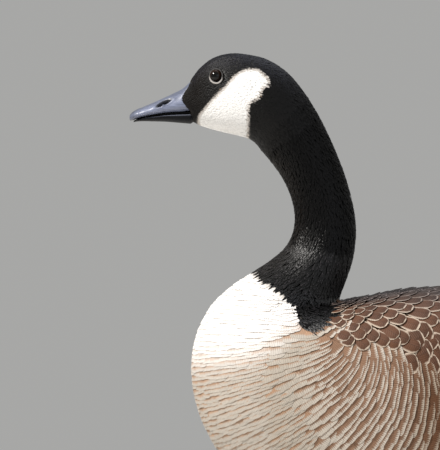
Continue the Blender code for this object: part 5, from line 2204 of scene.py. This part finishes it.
@dataclass
class Legs:
    """Thigh feathers, scaled shanks and webbed feet with claws, alike on both sides."""

    ankle: tuple[float, float, float] = (31.0, 54.0, 106.0)
    foot: tuple[float, float, float] = (6.0, 57.0, 15.0)
    shank_radii: tuple[tuple[float, float], ...] = (
        (8.6, 7.4), (7.4, 6.4), (5.4, 4.4), (5.0, 4.1), (5.2, 4.4), (6.8, 6.0)
    )
    toes: tuple[tuple[float, float, float, float, float, float], ...] = (
        (62.0, -27.0, 5.6, 3.4, 9.6, 5.0),
        (82.0, 1.0, 6.2, 3.6, 10.6, 5.2),
        (76.0, 27.0, 5.6, 3.4, 9.6, 5.0),
    )
    joints: tuple[float, ...] = (0.40, 0.74)
    foot_turn_deg: float = 5.0
    claw_length: float = 9.0
    claw_radius: float = 2.5
    web_reach: float = 0.93
    web_scallop: float = 0.16
    cut: Cut = Cut(12.0, 3.6, Outline.CONTOUR, 1.6, 0.5, 0.4)
    plume: Plume = Plume("thigh_plume", 0.85, 0.12, 0.12, 0.0, 0.05, 1.5, 0.2, 0.3, 0.07)
    scales: Scales = Scales("scaled_leg_skin")
    web_skin: Scales = Scales("web_skin", "#131211", "#332f2c", 1.4)
    claw_horn: Horn = Horn("claw_horn", "#131110", "#2e2a26", 0.38, streak_mm=0.8)

    def thigh(self, side: float, word: str, material: bpy.types.Material, rng: np.random.Generator) -> None:
        """Feathers of one thigh.

        Args:
            side: -1 for left, 1 for right.
            word: left or right.
            material: the finish.
            rng: source of small differences.
        """
        flow = Flow(Form(THIGH, side))
        pitch, spread = lambda place: 4.0, lambda place: 4.2
        place, angle, size = lay_rows(flow, 0.05, 2.75, pitch, spread, guide_deg=90.0, rng=rng, loose=0.32)
        size = size * np.interp(place, [0.0, 2.0, 2.8], [1.15, 0.9, 0.6])
        tint = vary(np.tile(PALETTE["thigh"], (len(place), 1)), rng, 0.08)
        rim = vary(np.tile(PALETTE["thigh_rim"], (len(place), 1)), rng, 0.05)
        roots = Roots(place, angle, size, rng.normal(0, 0.1, len(place)), tint, rim)
        mesh = self.cut.coat(f"thigh_coat_{word}", flow, flat_ground, roots, rng)
        place_piece(f"thigh_coat_{word}", mesh, material)

    def shank(self, side: float) -> bpy.types.Mesh:
        """A shank as an oval tube, its front stepped by a saw wave into broad plates.

        Args:
            side: -1 for left, 1 for right.

        Returns:
            The mesh.
        """
        ankle, foot = (np.array([x, y * side, z]) for x, y, z in (self.ankle, self.foot))
        path = np.linspace(ankle, foot - [0, 0, 3.0], 90)
        radii = resample(self.shank_radii, 90)
        rings = sweep(path * MM, radii * MM, 32)
        turn = np.arange(32) * TURN / 32
        share = np.linspace(0, 1, 90)[:, None]
        step = (np.mod(share * 24, 1.0) - 0.5) * 0.35 * smooth_step(0.2, 0.9, np.cos(turn)) * MM
        middle = rings.mean(1, keepdims=True)
        out = rings - middle
        rings = middle + out * (1 + step[..., None] / np.linalg.norm(out, axis=-1, keepdims=True))
        return outward(build_mesh("shank", *closed_grid(rings)))

    def way(self, turn_deg: float, side: float) -> Array:
        """A level direction turned outwards from straight ahead."""
        turn = math.radians(turn_deg + self.foot_turn_deg)
        return np.array([-math.cos(turn), side * math.sin(turn), 0.0])

    def toe(self, middle: Array, side: float, toe: tuple[float, ...]) -> tuple[Array, Array, Array]:
        """A toe: a flat sole and an arched top that swells at its joints by narrow bell curves.

        Args:
            middle: the foot's middle.
            side: -1 for left, 1 for right.
            toe: length, turn, half widths at root and tip, heights at root and tip.

        Returns:
            Points, quads and triangles.
        """
        length, turn, root, tip, root_high, tip_high = toe
        share = np.linspace(0, 1, 60)[:, None]
        swell = 1 + 0.14 * sum(np.exp(-(((share - joint) / 0.05) ** 2)) for joint in self.joints)
        swell = swell * np.sqrt(1 - 0.9 * smooth_step(0.93, 1.0, share))
        ripple = 1 + 0.018 * np.sin(share * 150)
        half = (root + (tip - root) * share) * swell * ripple
        high = (root_high + (tip_high - root_high) * share) * swell * ripple
        arch = np.linspace(0, math.pi, 17)
        way = self.way(turn, side)
        across = np.array([-way[1], way[0], 0.0])
        centre = middle + way * (length * share)
        ring = centre[:, None] + (half * np.cos(arch))[..., None] * across
        ring = ring + (high * np.sin(arch))[..., None] * np.array([0, 0, 1.0])
        return closed_grid(ring * MM)

    def claw(self, tip: Array, way: Array) -> tuple[Array, Array, Array]:
        """A claw: a round taper on a path that curves down by a parabola.

        Args:
            tip: the toe's tip.
            way: the way that the toe points.

        Returns:
            Points, quads and triangles.
        """
        share = np.linspace(-0.5, 1.0, 24)[:, None]
        high = 3.0 - 2.3 * np.clip(share, 0, 1) ** 2
        centre = tip + way * self.claw_length * share + high * np.array([0, 0, 1.0])
        radius = self.claw_radius * np.clip(1 - np.clip(share, 0, 1) ** 1.6 * 0.9, 0.08, 1)
        across = np.array([-way[1], way[0], 0.0])
        turn = np.arange(14) * TURN / 14
        ring = np.cos(turn)[:, None] * across + np.sin(turn)[:, None] * np.array([0, 0, 1.0])
        return closed_grid((centre[:, None] + radius[..., None] * ring) * MM)

    def web(self, middle: Array, side: float) -> tuple[Array, Array, Array]:
        """The web between two toes as a thin plate, sagging in the middle, its front edge hollowed.

        A point is the foot's middle plus a share of the way to the front edge, and that edge goes from
        toe tip to toe tip, drawn back by a sine. Fine creases run out from the foot's middle.

        Args:
            middle: the foot's middle.
            side: -1 for left, 1 for right.

        Returns:
            Points, quads and triangles.
        """
        parts = []
        for first, second in zip(self.toes[:-1], self.toes[1:]):
            ends = [middle + self.way(toe[1], side) * toe[0] * self.web_reach for toe in (first, second)]
            across = np.linspace(0, 1, 40)[None, :, None]
            out = np.linspace(0.08, 1.0, 30)[:, None, None]
            edge = ends[0] + (ends[1] - ends[0]) * across
            edge = edge + (middle - edge) * self.web_scallop * np.sin(math.pi * across)
            sheet = middle + (edge - middle) * out
            crease = 0.18 * np.sin(across * 46) * out * np.sin(math.pi * across)
            level = 2.6 - 0.7 * np.sin(math.pi * across) * out
            top = sheet + (level + crease) * np.array([0, 0, 1.0])
            low = sheet + np.array([0, 0, 0.5])
            rings = np.concatenate([top, low[:, ::-1]], axis=1)
            parts.append(closed_grid(rings * MM))
        return join_parts(parts)

    def pad(self, middle: Array) -> tuple[Array, Array, Array]:
        """The foot's middle: a flat sole that rises to the shank.

        Args:
            middle: the foot's middle.

        Returns:
            Points, quads and triangles.
        """
        turn = np.arange(28) * TURN / 28
        levels = [(11.0, 9.0, 0.0), (11.4, 9.4, 2.6), (9.6, 8.2, 7.0), (7.6, 7.0, 11.0), (7.2, 6.6, 15.4)]
        rows = resample(levels, 26)
        x = middle[0] + rows[:, :1] * np.cos(turn)
        y = middle[1] + rows[:, 1:2] * np.sin(turn)
        z = np.broadcast_to(np.maximum(rows[:, 2:], 0.0), x.shape)
        return closed_grid(np.stack([x, y, z], -1) * MM)

    def hind_toe(self, middle: Array, side: float) -> tuple[Array, Array, Array]:
        """The small raised toe behind.

        Args:
            middle: the foot's middle.
            side: -1 for left, 1 for right.

        Returns:
            Points, quads and triangles.
        """
        way = self.way(-160.0, side)
        share = np.linspace(0, 1.2, 30)[:, None]
        rise = 9.0 - 2.0 * smooth_step(0.9, 1.2, share)
        path = middle + way * 17.0 * share + rise * np.array([0, 0, 1.0])
        radius = 3.0 * np.clip(1.2 - 0.35 * share - 0.75 * smooth_step(0.9, 1.2, share), 0.12, 2)
        return closed_grid(sweep(path * MM, np.repeat(radius, 2, axis=1) * MM, 16))

    def build(self, rng: np.random.Generator) -> None:
        """Makes both legs.

        Args:
            rng: source of small differences.
        """
        plume, scales, web_skin, horn = (
            finish.make() for finish in (self.plume, self.scales, self.web_skin, self.claw_horn)
        )
        for side, word in ((-1.0, "left"), (1.0, "right")):
            self.thigh(side, word, plume, rng)
            place_piece(f"shank_skin_{word}", self.shank(side), scales, (f"shank_{word}",))
            middle = np.array([self.foot[0], self.foot[1] * side, 0.0])
            toes = [self.toe(middle, side, toe) for toe in self.toes]
            toes += [self.pad(middle), self.hind_toe(middle, side)]
            mesh = outward(build_mesh("foot", *join_parts(toes)))
            place_piece(f"foot_skin_{word}", mesh, scales, (f"foot_{word}",))
            mesh = outward(build_mesh("web", *self.web(middle, side)))
            place_piece(f"web_{word}", mesh, web_skin)
            ways = [self.way(turn, side) for _, turn, *_ in self.toes]
            claws = [self.claw(middle + way * toe[0], way) for toe, way in zip(self.toes, ways)]
            mesh = outward(build_mesh("claws", *join_parts(claws)))
            store(mesh, "pale", "FLOAT", np.full(len(mesh.vertices), 0.6))
            place_piece(f"claws_{word}", mesh, horn)


@dataclass
class Studio:
    """Pale paper sweep, soft lamps and the photograph's view."""

    picture_high_px: int = 450
    mm_a_pixel: float = 0.8
    aim: tuple[float, float, float] = (-0.2526, 0.0, 0.4178)
    distance: float = 3.5
    elevation_deg: float = 1.0
    sensor_mm: float = 36.0
    paper: Paper = Paper()

    def floor(self) -> None:
        """Lays the floor: a round sheet of paper on a polar grid, flat at z = 0."""
        radius = np.concatenate([[0.02], np.linspace(0.2, 3.2, 16)])[:, None]
        turn = (np.arange(96) * TURN / 96)[None]
        rings = np.stack([radius * np.cos(turn), radius * np.sin(turn), 0 * radius * turn], -1)
        points = rings.reshape(-1, 3)
        hub = np.arange(96)
        fan = np.stack([np.full(96, len(points)), hub, np.roll(hub, -1)], -1)
        points = np.concatenate([points, [[0.0, 0.0, 0.0]]])
        mesh = build_mesh("paper_floor", points, grid_faces(17, 96)[:, ::-1], fan)
        mesh.materials.append(self.paper.make())
        floor = bpy.data.objects.new("paper_floor", mesh)
        bpy.context.scene.collection.objects.link(floor)

    def lamp(
        self, name: str, spot: tuple[float, float, float], size: float, power: float, code: str
    ) -> None:
        """Hangs one square lamp that looks at the bird.

        Args:
            name: lamp name.
            spot: where it hangs.
            size: its side, in metres.
            power: watts.
            code: its colour.
        """
        data = bpy.data.lights.new(name, "AREA")
        data.size, data.energy = size, power
        data.color = linear(code)[:3]
        lamp = bpy.data.objects.new(name, data)
        lamp.location = spot
        away = Vector(spot) - Vector((-0.12, 0.0, 0.36))
        lamp.rotation_euler = away.to_track_quat("Z", "Y").to_euler()
        bpy.context.scene.collection.objects.link(lamp)

    def camera(self) -> None:
        """Sets the camera so that a pixel of the photograph is its real size on the bird."""
        high = self.picture_high_px * self.mm_a_pixel * MM
        data = bpy.data.cameras.new("camera")
        data.sensor_width = self.sensor_mm
        data.lens = self.sensor_mm * self.distance / high
        data.clip_end = 50.0
        turn = math.radians(self.elevation_deg)
        camera = bpy.data.objects.new("camera", data)
        camera.location = Vector(self.aim) + Vector((0, -math.cos(turn), math.sin(turn))) * self.distance
        camera.rotation_euler = (math.pi / 2 - turn, 0, 0)
        bpy.context.scene.collection.objects.link(camera)
        bpy.context.scene.camera = camera

    def build(self) -> None:
        """Sets up floor, lamps, world and camera."""
        self.floor()
        self.lamp("key_lamp", (-2.1, -1.0, 2.8), 0.55, 128.0, "#fffbf6")
        self.lamp("fill_lamp", (1.6, -2.6, 1.2), 2.0, 9.0, "#eef3ff")
        self.lamp("top_lamp", (0.3, 0.9, 2.6), 1.6, 16.0, "#eaf0ff")
        world = bpy.data.worlds.new("studio_air")
        world.use_nodes = True
        world.node_tree.nodes["Background"].inputs["Color"].default_value = linear("#e4e4e2")
        world.node_tree.nodes["Background"].inputs["Strength"].default_value = 0.50
        bpy.context.scene.world = world
        bpy.context.scene.view_settings.view_transform = "Standard"
        self.camera()


def main() -> None:
    """Builds the bird piece by piece, then the studio."""
    logging.basicConfig(level=logging.INFO, format="%(message)s")
    rng = np.random.default_rng(SEED)
    Skin().build()
    HeadCoat().build(rng)
    NeckCoat().build(rng)
    BodyCoat().build(rng)
    MantleCoat().build(rng)
    WingCoat().build(rng)
    TailCoat().build(rng)
    Eyes().build()
    Bill().build()
    Legs().build(rng)
    Studio().build()


if __name__ == "__main__":
    main()
